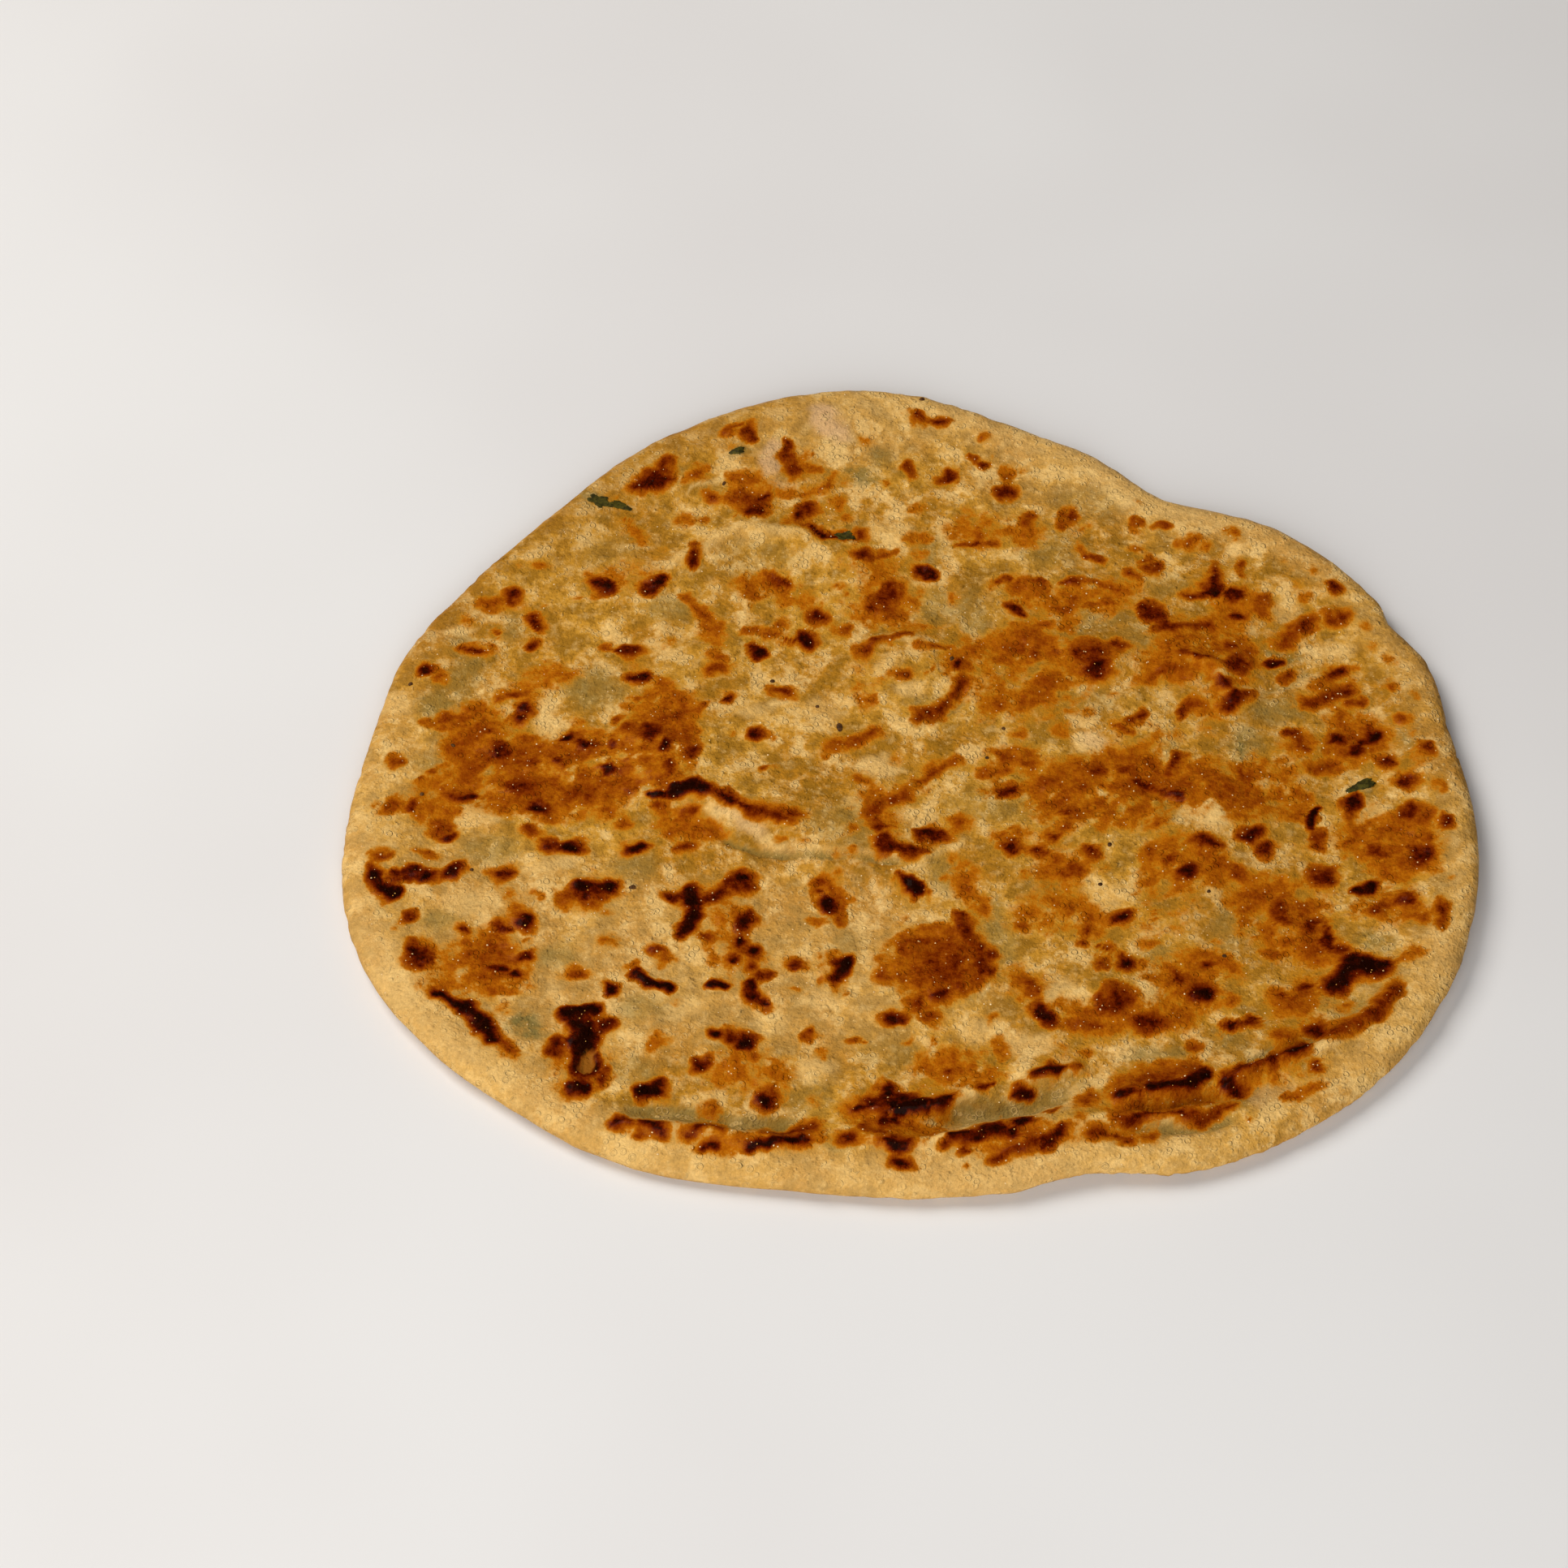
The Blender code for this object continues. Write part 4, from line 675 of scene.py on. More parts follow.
@dataclass
class Browning:
    """What the griddle and the filling did to the upper face and the underside."""

    core_out: float = 1.95
    core_in: float = -0.5
    body_share: float = 0.75
    halo_out: float = 3.0
    halo_in: float = 0.2
    halo_most: float = 0.4
    wander_wide: float = 0.85
    wander_fine: float = 0.55
    amber_most: float = 0.54
    freckles: int = 210
    underside_spots: int = 210
    seed: int = 11

    def __post_init__(self) -> None:
        """Prepare the random fields and flatten the tables of marks."""
        self.wide = Unevenness(self.seed)
        self.fine = Unevenness(self.seed + 1)
        self.scorches = [Spot(*row) for rows in SCORCHES.values() for row in rows]
        self.scorches += self.scattered(self.freckles, 98.0, (0.35, 1.2), (0.22, 0.5), self.seed + 7)

    @staticmethod
    def scattered(count: int, reach: float, sizes: tuple, strengths: tuple, seed: int) -> list[Spot]:
        """Strew random spots over the disc.

        Args:
            count: How many spots.
            reach: How far from the middle they lie, in mm.
            sizes: Smallest and largest half length.
            strengths: Weakest and strongest burn.
            seed: Any whole number.

        Returns:
            The spots.
        """
        chance = np.random.default_rng(seed)
        spots = []
        for _ in range(count):
            radius = reach * math.sqrt(chance.random())
            bearing = chance.uniform(0.0, math.tau)
            length = sizes[0] + (sizes[1] - sizes[0]) * chance.random() ** 2
            width = length * chance.uniform(0.45, 0.95)
            turn, strength = chance.uniform(0.0, 180.0), chance.uniform(*strengths)
            place = (radius * math.cos(bearing), 0.9 * radius * math.sin(bearing))
            spots.append(Spot(*place, length, width, turn, strength))
        return spots

    def wandered(self, x: np.ndarray, y: np.ndarray) -> tuple[np.ndarray, np.ndarray]:
        """Shift places a little at random, so that round marks get ragged outlines.

        Args:
            x: Places across, in mm from the disc's middle.
            y: Places up.

        Returns:
            The shifted places.
        """
        shift_x = self.wander_wide * self.wide.at(x, y, 3.4) + self.wander_fine * self.fine.at(x, y, 1.5)
        shift_y = self.wander_wide * self.wide.at(y + 97, x, 3.4) + self.wander_fine * self.fine.at(y + 61, x, 1.5)
        return x + shift_x, y + shift_y

    def spreading(self, x: np.ndarray, y: np.ndarray) -> np.ndarray:
        """How wide the marks' edges are: crisp in places and spread out in others.

        Args:
            x: Places across, in mm from the disc's middle.
            y: Places up.

        Returns:
            A factor for the edges' width.
        """
        return 0.5 + 0.85 * rise(self.wide.layered(x - 37, y + 12, 7.0), -0.5, 0.5)

    def burn(
        self, gaps: list[tuple[np.ndarray, float, float]], spread: np.ndarray
    ) -> tuple[np.ndarray, np.ndarray]:
        """Merge marks into one field: dark cores over soft orange halos.

        Args:
            gaps: For each mark its distances, its half width and its strength.
            spread: How wide the edges are at each place.

        Returns:
            How deep the cores are burnt, and how much of the heat around them reached each place.
        """
        cores = np.zeros(gaps[0][0].shape)
        clear = np.ones(gaps[0][0].shape)
        for gap, depth, strength in gaps:
            body = rise(gap, self.core_out * spread, self.core_in)
            heart = rise(gap, 0.15, -0.85 * depth)
            cores = np.maximum(cores, strength * (self.body_share * body + (1.0 - self.body_share) * heart))
            clear *= 1.0 - min(1.0, 1.3 * strength) * rise(gap, self.halo_out * spread, self.halo_in) * 0.8
        return cores, 1.0 - clear

    def halo(self, x: np.ndarray, y: np.ndarray, warmth: np.ndarray) -> np.ndarray:
        """Colour the dough round the scorches, more on some sides than on others.

        Args:
            x: Places across, in mm from the disc's middle.
            y: Places up.
            warmth: How much heat reached each place.

        Returns:
            How toasted each place is.
        """
        uneven = rise(self.wide.layered(x + 15, y + 33, 7.0), -0.5, 0.5)
        broken = 0.75 + 0.35 * self.fine.layered(x + 9, y, 2.0, 2)
        return self.halo_most * warmth * (0.3 + 0.7 * uneven) * broken

    def stain(self, x: np.ndarray, y: np.ndarray, tint: Tint, soft: float) -> np.ndarray:
        """Merge the stains of one tint.

        Args:
            x: Places across, already wandered.
            y: Places up.
            tint: Which stains.
            soft: Width of their soft edge, in mm.

        Returns:
            The tint's strength, from 0 to about 1.
        """
        clear = np.ones(x.shape)
        for row in STAINS[tint]:
            spot = Spot(*row)
            clear *= 1.0 - spot.strength * rise(oval_gap(x, y, spot), soft, -soft)
        return 1.0 - clear

    def upper(self, x: np.ndarray, y: np.ndarray, inset: np.ndarray) -> dict[str, np.ndarray]:
        """Colour fields of the upper face.

        Args:
            x: Places across, in mm from the disc's middle.
            y: Places up.
            inset: Distance in from the rim.

        Returns:
            The fields by attribute name, with "core" for the blisters.
        """
        wx, wy = self.wandered(x, y)
        gaps = [(oval_gap(wx, wy, spot), min(spot.length, spot.width), spot.strength) for spot in self.scorches]
        gaps += [(path_gap(wx, wy, s.path)[0] - s.width, s.width, s.strength) for s in STREAKS]
        cores, warmth = self.burn(gaps, self.spreading(x, y))
        mottle = self.fine.layered(x, y, 2.4)
        grit = self.wide.layered(x + 40, y, 1.3, 2)
        toast = np.maximum(cores, self.halo(x, y, warmth))
        amber = self.stain(wx, wy, Tint.AMBER, 3.6)
        drift = self.wide.layered(x + 71, y - 23, 5.6)
        clumps = 0.62 + 0.72 * rise(drift, -0.55, 0.5)
        amber = self.amber_most * np.tanh(np.maximum(amber * (clumps + 0.5 * mottle + 0.3 * grit), 0.0) / self.amber_most)
        toast = np.maximum(toast * (1.0 + 0.1 * grit * (toast < 0.85)), amber)
        burst = rise(oval_gap(x, y, BURST) + 0.7 * mottle, 0.35, -0.25)
        toast = toast * (1.0 - burst) + 0.4 * burst
        # The lap's band: pale raw dough with a painted highlight, added to the cream tint.
        pale = rise(path_gap(wx, wy, PALE_LAP_AND_HIGHLIGHT.path)[0], PALE_LAP_AND_HIGHLIGHT.width + 0.8, PALE_LAP_AND_HIGHLIGHT.width - 1.4)
        pale *= np.clip(0.72 + 0.5 * mottle, 0.0, 1.0)
        toast *= 1.0 - 0.9 * pale * (toast < 0.7)
        fade = rise(inset, 3.2, 5.6)
        return {
            "toast": toast * fade,
            "core": cores * fade,
            "burst": burst,
            Tint.CREAM_AND_HIGHLIGHT.value: np.maximum(self.stain(wx, wy, Tint.CREAM_AND_HIGHLIGHT, 1.3), pale),
            Tint.OLIVE_AND_SHADE.value: self.stain(wx, wy, Tint.OLIVE_AND_SHADE, 1.8) * rise(inset, 4.0, 9.0),
            Tint.GREEN.value: self.stain(wx, wy, Tint.GREEN, 1.0),
            Tint.ONION.value: self.stain(wx, wy, Tint.ONION, 1.4),
            Tint.PALE.value: self.stain(wx, wy, Tint.PALE, 9.0),
            Tint.DEEP_TONE_AND_SHADE.value: self.stain(wx, wy, Tint.DEEP_TONE_AND_SHADE, 9.0),
        }

    def lower(self, x: np.ndarray, y: np.ndarray, inset: np.ndarray) -> dict[str, np.ndarray]:
        """Colour fields of the underside, which fried first and more evenly.

        Args:
            x: Places across, in mm from the disc's middle.
            y: Places up.
            inset: Distance in from the rim.

        Returns:
            The fields by attribute name.
        """
        wx, wy = self.wandered(x + 13.0, y - 29.0)
        wx, wy = wx - 13.0, wy + 29.0
        spots = self.scattered(self.underside_spots, 96.0, (0.8, 4.2), (0.45, 0.97), self.seed + 5)
        gaps = [(oval_gap(wx, wy, spot), spot.width, spot.strength) for spot in spots]
        cores, warmth = self.burn(gaps, self.spreading(x, y))
        toast = np.maximum(cores, self.halo(x, y, warmth))
        amber = np.clip(0.32 + 0.5 * self.wide.layered(x, y, 17.0), 0.0, 0.55)
        amber *= 1.0 + 0.45 * self.fine.layered(x, y, 5.0, 2)
        fade = rise(inset, 2.0, 7.0)
        nothing = np.zeros(x.shape)
        return {
            "toast": np.maximum(toast, amber) * fade,
            "core": cores * fade,
            "burst": nothing,
            Tint.CREAM_AND_HIGHLIGHT.value: rise(self.wide.layered(x, y + 50, 8.0), 0.3, 0.9),
            Tint.OLIVE_AND_SHADE.value: rise(self.wide.layered(x + 80, y, 11.0), 0.2, 1.0),
            Tint.GREEN.value: rise(self.fine.layered(x + 30, y, 9.0), 0.8, 1.2),
            Tint.ONION.value: nothing,
            Tint.PALE.value: rise(self.wide.layered(x - 60, y, 24.0), 0.0, 1.0),
            Tint.DEEP_TONE_AND_SHADE.value: rise(self.wide.layered(x, y - 60, 21.0), 0.0, 1.0),
        }


@dataclass
class Crust:
    """The bread's fine skin: a woven upper face, a rounded rim and a coarser underside, all one mesh."""

    top_cells: int = 272
    rim_steps: int = 6
    rim_rounding: float = 3.4 * MM
    outline_steps: int = 720
    smoothing: int = 10
    wave_height: float = 0.30 * MM
    bubble_height: float = 0.15 * MM
    grain_height: float = 0.05 * MM
    crumple_height: float = 0.25 * MM
    pleat_share: float = 2.0
    blister_height: float = 0.20 * MM
    rim_unevenness: float = 0.22 * MM
    headroom: float = 0.02 * MM
    marked_level: float = 4.0 * MM
    marked_slope: float = 0.78

    def __post_init__(self) -> None:
        """Feel the solid and prepare the random fields."""
        self.probe = SolidProbe(NODE)
        self.browning = Browning()
        self.broad = Unevenness(3)
        self.small = Unevenness(4)
        self.bearings = np.linspace(0.0, math.tau, self.outline_steps, endpoint=False)
        self.radii = np.array([self.probe.edge_radius(b) for b in self.bearings])

    def edge(self, bearing: np.ndarray) -> np.ndarray:
        """Distance of the rim from the origin in each direction, in metres."""
        return np.interp(bearing, self.bearings, self.radii, period=math.tau)

    @staticmethod
    def rim_paleness_and_light(bearing: np.ndarray) -> np.ndarray:
        """How pale the rim is painted in each direction, from 0 to 1: paler dough and painted light and shade together.
        """
        turns, tones = zip(*RIM_PALENESS_AND_LIGHT)
        return np.interp(np.degrees(bearing), turns, tones, period=360.0)

    @staticmethod
    def woven_disc(cells: int) -> tuple[np.ndarray, np.ndarray]:
        """Spread a square grid over a disc without a pole.

        Args:
            cells: Cells along one side of the square.

        Returns:
            The bearing and the share of the radius for each grid point.
        """
        line = np.linspace(-1.0, 1.0, cells + 1)
        across, up = np.meshgrid(line, line)
        wide = np.abs(across) >= np.abs(up)
        reach = np.where(wide, across, up)
        safe = np.where(reach == 0.0, 1.0, reach)
        turn = np.where(wide, math.pi / 4 * up / safe, math.pi / 2 - math.pi / 4 * across / safe)
        bearing = np.where(reach < 0.0, turn + math.pi, turn)
        return np.mod(bearing, math.tau), np.abs(reach)

    @staticmethod
    def border(cells: int) -> np.ndarray:
        """Grid numbers of a square grid's border, once round, anticlockwise.

        Args:
            cells: Cells along one side.

        Returns:
            Indices into the flattened grid.
        """
        side = cells + 1
        near = np.arange(cells)
        right = cells + side * np.arange(cells)
        far = cells * side + cells - np.arange(cells)
        left = side * (cells - np.arange(cells))
        return np.concatenate((near, right, far, left))

    def smoothed(self, heights: np.ndarray) -> np.ndarray:
        """Take the facets out of heights that were felt on flat triangles.

        Args:
            heights: A square grid of heights.

        Returns:
            The grid with each height eased towards its neighbours'.
        """
        for _ in range(self.smoothing):
            padded = np.pad(heights, 1, mode="edge")
            rows = (padded[:-2, :] + 2.0 * padded[1:-1, :] + padded[2:, :]) / 4.0
            heights = (rows[:, :-2] + 2.0 * rows[:, 1:-1] + rows[:, 2:]) / 4.0
        return heights

    def pleated(self, x: np.ndarray, y: np.ndarray) -> tuple[np.ndarray, np.ndarray]:
        """Sharpen the pleats: crests and creases a millimetre or two wide.

        Args:
            x: Places across, in mm from the disc's middle.
            y: Places up.

        Returns:
            The height of the crests and the depth of the creases, in mm.
        """
        wx = x + 0.7 * self.broad.at(x, y + 40, 4.0)
        wy = y + 0.7 * self.small.at(x + 40, y, 4.0)
        crests, creases = np.zeros(x.shape), np.zeros(x.shape)
        for pleat in PLEATS:
            gap, side, along = path_gap(wx, wy, pleat.path)
            spread = np.where(side > 0.0, pleat.easy, pleat.steep)
            ends = rise(along, 0.0, 0.22) * rise(along, 1.0, 0.78)
            lift = abs(pleat.rise) * np.exp(-((gap / spread) ** 2)) * ends
            if pleat.rise > 0.0:
                crests += lift
            else:
                creases += lift
        return crests, creases

    def fine_relief(self, x: np.ndarray, y: np.ndarray, fields: dict[str, np.ndarray]) -> np.ndarray:
        """Pleats, blisters and unevenness that stand on the smooth crust.

        Args:
            x: Places across, in mm from the disc's middle.
            y: Places up.
            fields: The browning of the same places; the pleats' painted light and shade are added to its cream and
                olive tints.

        Returns:
            Heights in metres.
        """
        relief = self.wave_height * self.broad.layered(x, y, 8.0, 2)
        relief += self.bubble_height * self.small.layered(x, y, 2.7, 2)
        relief += self.grain_height * self.small.at(x + 20, y, 0.9)
        crumple = 1.0 - np.abs(self.broad.at(x + 50, y + 20, 5.2))
        relief += self.crumple_height * crumple**4
        crests, creases = self.pleated(x, y)
        relief += self.pleat_share * MM * (crests - creases)
        # Painted light and shade: the pleats' crests are painted cream as if lit, their creases olive as if shaded.
        fields[Tint.CREAM_AND_HIGHLIGHT.value] = np.maximum(fields[Tint.CREAM_AND_HIGHLIGHT.value], 0.7 * rise(crests, 0.15, 0.5))
        fields[Tint.OLIVE_AND_SHADE.value] = np.maximum(fields[Tint.OLIVE_AND_SHADE.value], 0.9 * rise(creases, 0.1, 0.4))
        rough = self.small.layered(x + 70, y + 10, 1.5, 2)
        relief += self.blister_height * fields["core"] * (0.8 + 0.7 * rough)
        relief += 0.10 * MM * fields["toast"] * rough
        relief -= 0.9 * MM * fields["burst"]
        return relief

    def build(self) -> bpy.types.Object:
        """Make the skin as one closed mesh that carries its browning.

        Returns:
            The skin's object, at the origin.
        """
        bearing, share = self.woven_disc(self.top_cells)
        edge = self.edge(bearing)
        inner = (edge - self.rim_rounding) * share
        x, y = inner * np.cos(bearing), inner * np.sin(bearing)
        inset = (edge - inner) / MM
        top = self.smoothed(self.probe.face_height(x, y, from_above=True))
        disc_x = x / MM - DISC_MIDDLE[0]
        disc_y = (y + self.marked_slope * (top - self.marked_level)) / MM - DISC_MIDDLE[1]
        upper = self.browning.upper(disc_x, disc_y, inset)
        top += self.fine_relief(disc_x, disc_y, upper) * rise(inset, 3.0, 7.0)
        top = np.minimum(top, self.probe.top + self.headroom)

        half = self.top_cells // 2
        low_bearing, low_share = self.woven_disc(half)
        low_edge = self.edge(low_bearing)
        low_inner = (low_edge - self.rim_rounding) * low_share
        low_x, low_y = low_inner * np.cos(low_bearing), low_inner * np.sin(low_bearing)
        low_inset = (low_edge - low_inner) / MM
        low_disc = (low_x / MM - DISC_MIDDLE[0], low_y / MM - DISC_MIDDLE[1])
        lower = self.browning.lower(*low_disc, low_inset)
        base = self.smoothed(self.probe.face_height(low_x, low_y, from_above=False))
        dents = 0.5 + 0.5 * self.broad.layered(*low_disc, 6.0, 2)
        base += np.clip(dents, 0.0, 1.0) * 0.25 * MM

        border = self.border(self.top_cells)
        low_border = self.border(half)
        ring_bearing = bearing.ravel()[border]
        ring_edge = edge.ravel()[border]
        ring_top = top.ravel()[border]
        ring_base = np.interp(
            np.arange(border.size) / 2.0, np.arange(low_border.size), base.ravel()[low_border], period=low_border.size
        )
        points = [np.stack((x.ravel(), y.ravel(), top.ravel()), axis=1)]
        fields = {name: [values.ravel()] for name, values in upper.items()}
        arc = ring_bearing * ring_edge / MM
        for step in range(1, self.rim_steps):
            turn = math.pi * step / self.rim_steps
            swell = self.rim_unevenness * self.small.layered(arc, np.full(arc.shape, 3.0 * turn), 3.1, 2)
            swell += 0.6 * self.rim_unevenness * self.broad.at(arc, np.full(arc.shape, 2.0 * turn), 9.0)
            reach = ring_edge - self.rim_rounding + self.rim_rounding * math.sin(turn)
            reach = np.minimum(reach + swell * math.sin(turn), ring_edge + self.headroom)
            middle, half_thick = (ring_top + ring_base) / 2.0, (ring_top - ring_base) / 2.0
            height = middle + (half_thick + 0.3 * swell) * math.cos(turn)
            points.append(np.stack((reach * np.cos(ring_bearing), reach * np.sin(ring_bearing), height), axis=1))
            for name, values in upper.items():
                fields[name].append(values.ravel()[border] * 0.5 * (1.0 + math.cos(turn)))
        points.append(np.stack((low_x.ravel(), low_y.ravel(), base.ravel()), axis=1))
        for name, values in lower.items():
            fields[name].append(values.ravel())
        on_top = [np.ones(top.size)]
        on_top += [np.full(border.size, 0.5 * (1.0 + math.cos(math.pi * s / self.rim_steps))) for s in range(1, self.rim_steps)]
        on_top.append(np.zeros(base.size))
        # The rim's paleness by bearing, partly painted light and shade.
        tone = self.rim_paleness_and_light(bearing.ravel())
        rim = [tone * rise(inset.ravel(), 11.0, 4.0)] + [tone[border]] * (self.rim_steps - 1)
        rim.append(self.rim_paleness_and_light(low_bearing.ravel()) * rise(low_inset.ravel(), 10.0, 4.0))
        fields["above"] = on_top
        fields["rim"] = rim

        faces = self.grid_faces(self.top_cells, 0, flip=False)
        ring = border
        for step in range(1, self.rim_steps):
            following = top.size + (step - 1) * border.size + np.arange(border.size)
            faces += [
                (int(a), int(b), int(c), int(d))
                for a, b, c, d in zip(ring, following, np.roll(following, -1), np.roll(ring, -1))
            ]
            ring = following
        start = top.size + (self.rim_steps - 1) * border.size
        below = start + low_border
        for index in range(low_border.size):
            first, second = int(ring[2 * index]), int(ring[2 * index + 1])
            third = int(ring[(2 * index + 2) % ring.size])
            here, after = int(below[index]), int(below[(index + 1) % below.size])
            faces += [(first, here, second), (second, here, after), (second, after, third)]
        faces += self.grid_faces(half, start, flip=True)
        return self.skin_object(np.concatenate(points), faces, {n: np.concatenate(v) for n, v in fields.items()})

    @staticmethod
    def grid_faces(cells: int, start: int, flip: bool) -> list[tuple[int, int, int, int]]:
        """Four-sided faces of a square grid.

        Args:
            cells: Cells along one side.
            start: Number of the grid's first point.
            flip: Whether the faces look down.

        Returns:
            The faces as point numbers.
        """
        side = cells + 1
        rows, columns = np.divmod(np.arange(cells * cells), cells)
        corner = start + rows * side + columns
        loops = (corner, corner + 1, corner + side + 1, corner + side)
        if flip:
            loops = loops[::-1]
        return list(zip(*(loop.tolist() for loop in loops)))

    @staticmethod
    def skin_object(points: np.ndarray, faces: list, fields: dict[str, np.ndarray]) -> bpy.types.Object:
        """Turn arrays into a smooth mesh object with one attribute for each field.

        Args:
            points: Corner places in metres.
            faces: Faces as point numbers.
            fields: Values at the points.

        Returns:
            The object, linked to the scene.
        """
        mesh = bpy.data.meshes.new("paratha_crust")
        mesh.from_pydata(points.tolist(), [], faces)
        mesh.shade_smooth()
        for name, values in fields.items():
            layer = mesh.attributes.new(name, "FLOAT", "POINT")
            layer.data.foreach_set("value", np.clip(values, 0.0, 1.2).astype(np.float32))
        skin = bpy.data.objects.new("paratha_crust", mesh)
        bpy.context.scene.collection.objects.link(skin)
        return skin


Flowing = Union["Tone", bpy.types.NodeSocket, float, tuple]


class Tone:
    """A number flowing through a finish; Python arithmetic on it adds the Math nodes."""

    def __init__(self, bench: "Bench", socket: bpy.types.NodeSocket) -> None:
        """Wrap one output socket.

        Args:
            bench: The finish that the socket belongs to.
            socket: The output.
        """
        self.bench = bench
        self.socket = socket

    def _with(self, operation: str, first: Flowing, second: Flowing) -> "Tone":
        """Join two numbers by a Math node."""
        return self.bench.node("ShaderNodeMath", {"operation": operation}, {0: first, 1: second})

    def __add__(self, other: Flowing) -> "Tone":
        """Add."""
        return self._with("ADD", self, other)

    def __radd__(self, other: Flowing) -> "Tone":
        """Add, with the plain number first."""
        return self._with("ADD", other, self)

    def __sub__(self, other: Flowing) -> "Tone":
        """Subtract."""
        return self._with("SUBTRACT", self, other)

    def __rsub__(self, other: Flowing) -> "Tone":
        """Subtract from a plain number."""
        return self._with("SUBTRACT", other, self)

    def __mul__(self, other: Flowing) -> "Tone":
        """Multiply."""
        return self._with("MULTIPLY", self, other)

    def __rmul__(self, other: Flowing) -> "Tone":
        """Multiply, with the plain number first."""
        return self._with("MULTIPLY", other, self)

    def risen(self, low: float, high: float) -> "Tone":
        """Smooth step from 0 at the low value to 1 at the high one.

        Args:
            low: Value that gives 0.
            high: Value that gives 1.

        Returns:
            The stepped number.
        """
        settings = {"interpolation_type": "SMOOTHSTEP"}
        return self.bench.node("ShaderNodeMapRange", settings, {"Value": self, "From Min": low, "From Max": high})


class Bench:
    """The node desk of one material."""

    def __init__(self, name: str) -> None:
        """Start a material with a bare Principled shader.

        Args:
            name: The material's name.
        """
        self.material = bpy.data.materials.new(name)
        self.material.use_nodes = True
        self.nodes = self.material.node_tree.nodes
        self.links = self.material.node_tree.links
        self.shader = self.nodes["Principled BSDF"]
        coordinates = self.nodes.new("ShaderNodeTexCoord")
        self.place = coordinates.outputs["Object"]

    def feed(self, socket: bpy.types.NodeSocket, value: Flowing) -> None:
        """Link or set one input.

        Args:
            socket: The input.
            value: A flowing number, an output socket or a plain value.
        """
        if isinstance(value, Tone):
            self.links.new(value.socket, socket)
        elif isinstance(value, bpy.types.NodeSocket):
            self.links.new(value, socket)
        else:
            socket.default_value = value

    def node(self, kind: str, settings: dict, inputs: dict, output: Union[int, str] = 0) -> Tone:
        """Add any node.

        Args:
            kind: The node's type.
            settings: Its properties; "stops" fills a colour ramp.
            inputs: Values or links by socket name or number.
            output: Which output to return.

        Returns:
            The chosen output.
        """
        made = self.nodes.new(kind)
        for name, value in settings.items():
            if name == "stops":
                stops = made.color_ramp.elements
                while len(stops) < len(value):
                    stops.new(1.0)
                for stop, (position, colour) in zip(stops, value):
                    stop.position = position
                    stop.color = colour
            else:
                setattr(made, name, value)
        for name, value in inputs.items():
            self.feed(made.inputs[name], value)
        return Tone(self, made.outputs[output])

    def attribute(self, name: str) -> Tone:
        """Read one of the mesh's own fields."""
        return self.node("ShaderNodeAttribute", {"attribute_name": name}, {}, "Fac")

    def noise(self, grain: float, detail: float = 2.0, roughness: float = 0.5) -> Tone:
        """Read smooth noise around 0.5.

        Args:
            grain: Size of a bump in mm.
            detail: How many finer layers.
            roughness: Strength of the finer layers.

        Returns:
            The noise.
        """
        inputs = {"Vector": self.place, "Scale": 1.0 / (grain * MM), "Detail": detail, "Roughness": roughness}
        return self.node("ShaderNodeTexNoise", {}, inputs, "Fac")

    def cells(self, grain: float) -> Tone:
        """Read the distance to the nearest of many scattered points, in cells of a size in mm."""
        return self.node("ShaderNodeTexVoronoi", {}, {"Vector": self.place, "Scale": 1.0 / (grain * MM)}, "Distance")

    def blend(self, share: Flowing, first: Flowing, second: Flowing, way: str = "MIX") -> Tone:
        """Blend two colours.

        Args:
            share: How much of the second colour shows.
            first: The colour below.
            second: The colour above.
            way: The blend type.

        Returns:
            The blended colour.
        """
        settings = {"data_type": "RGBA", "blend_type": way}
        return self.node("ShaderNodeMix", settings, {0: share, 6: first, 7: second}, 2)

    def dress(self, **inputs: Flowing) -> None:
        """Feed the Principled shader; underscores in a name stand for spaces."""
        for name, value in inputs.items():
            self.feed(self.shader.inputs[name.replace("_", " ")], value)

    def bump(self, height: Flowing, strength: float) -> None:
        """Give the shader a fine relief.

        Args:
            height: Relief in mm.
            strength: How strongly it shows.
        """
        raised = self.node("ShaderNodeBump", {}, {"Height": height, "Distance": MM, "Strength": strength})
        self.feed(self.shader.inputs["Normal"], raised)


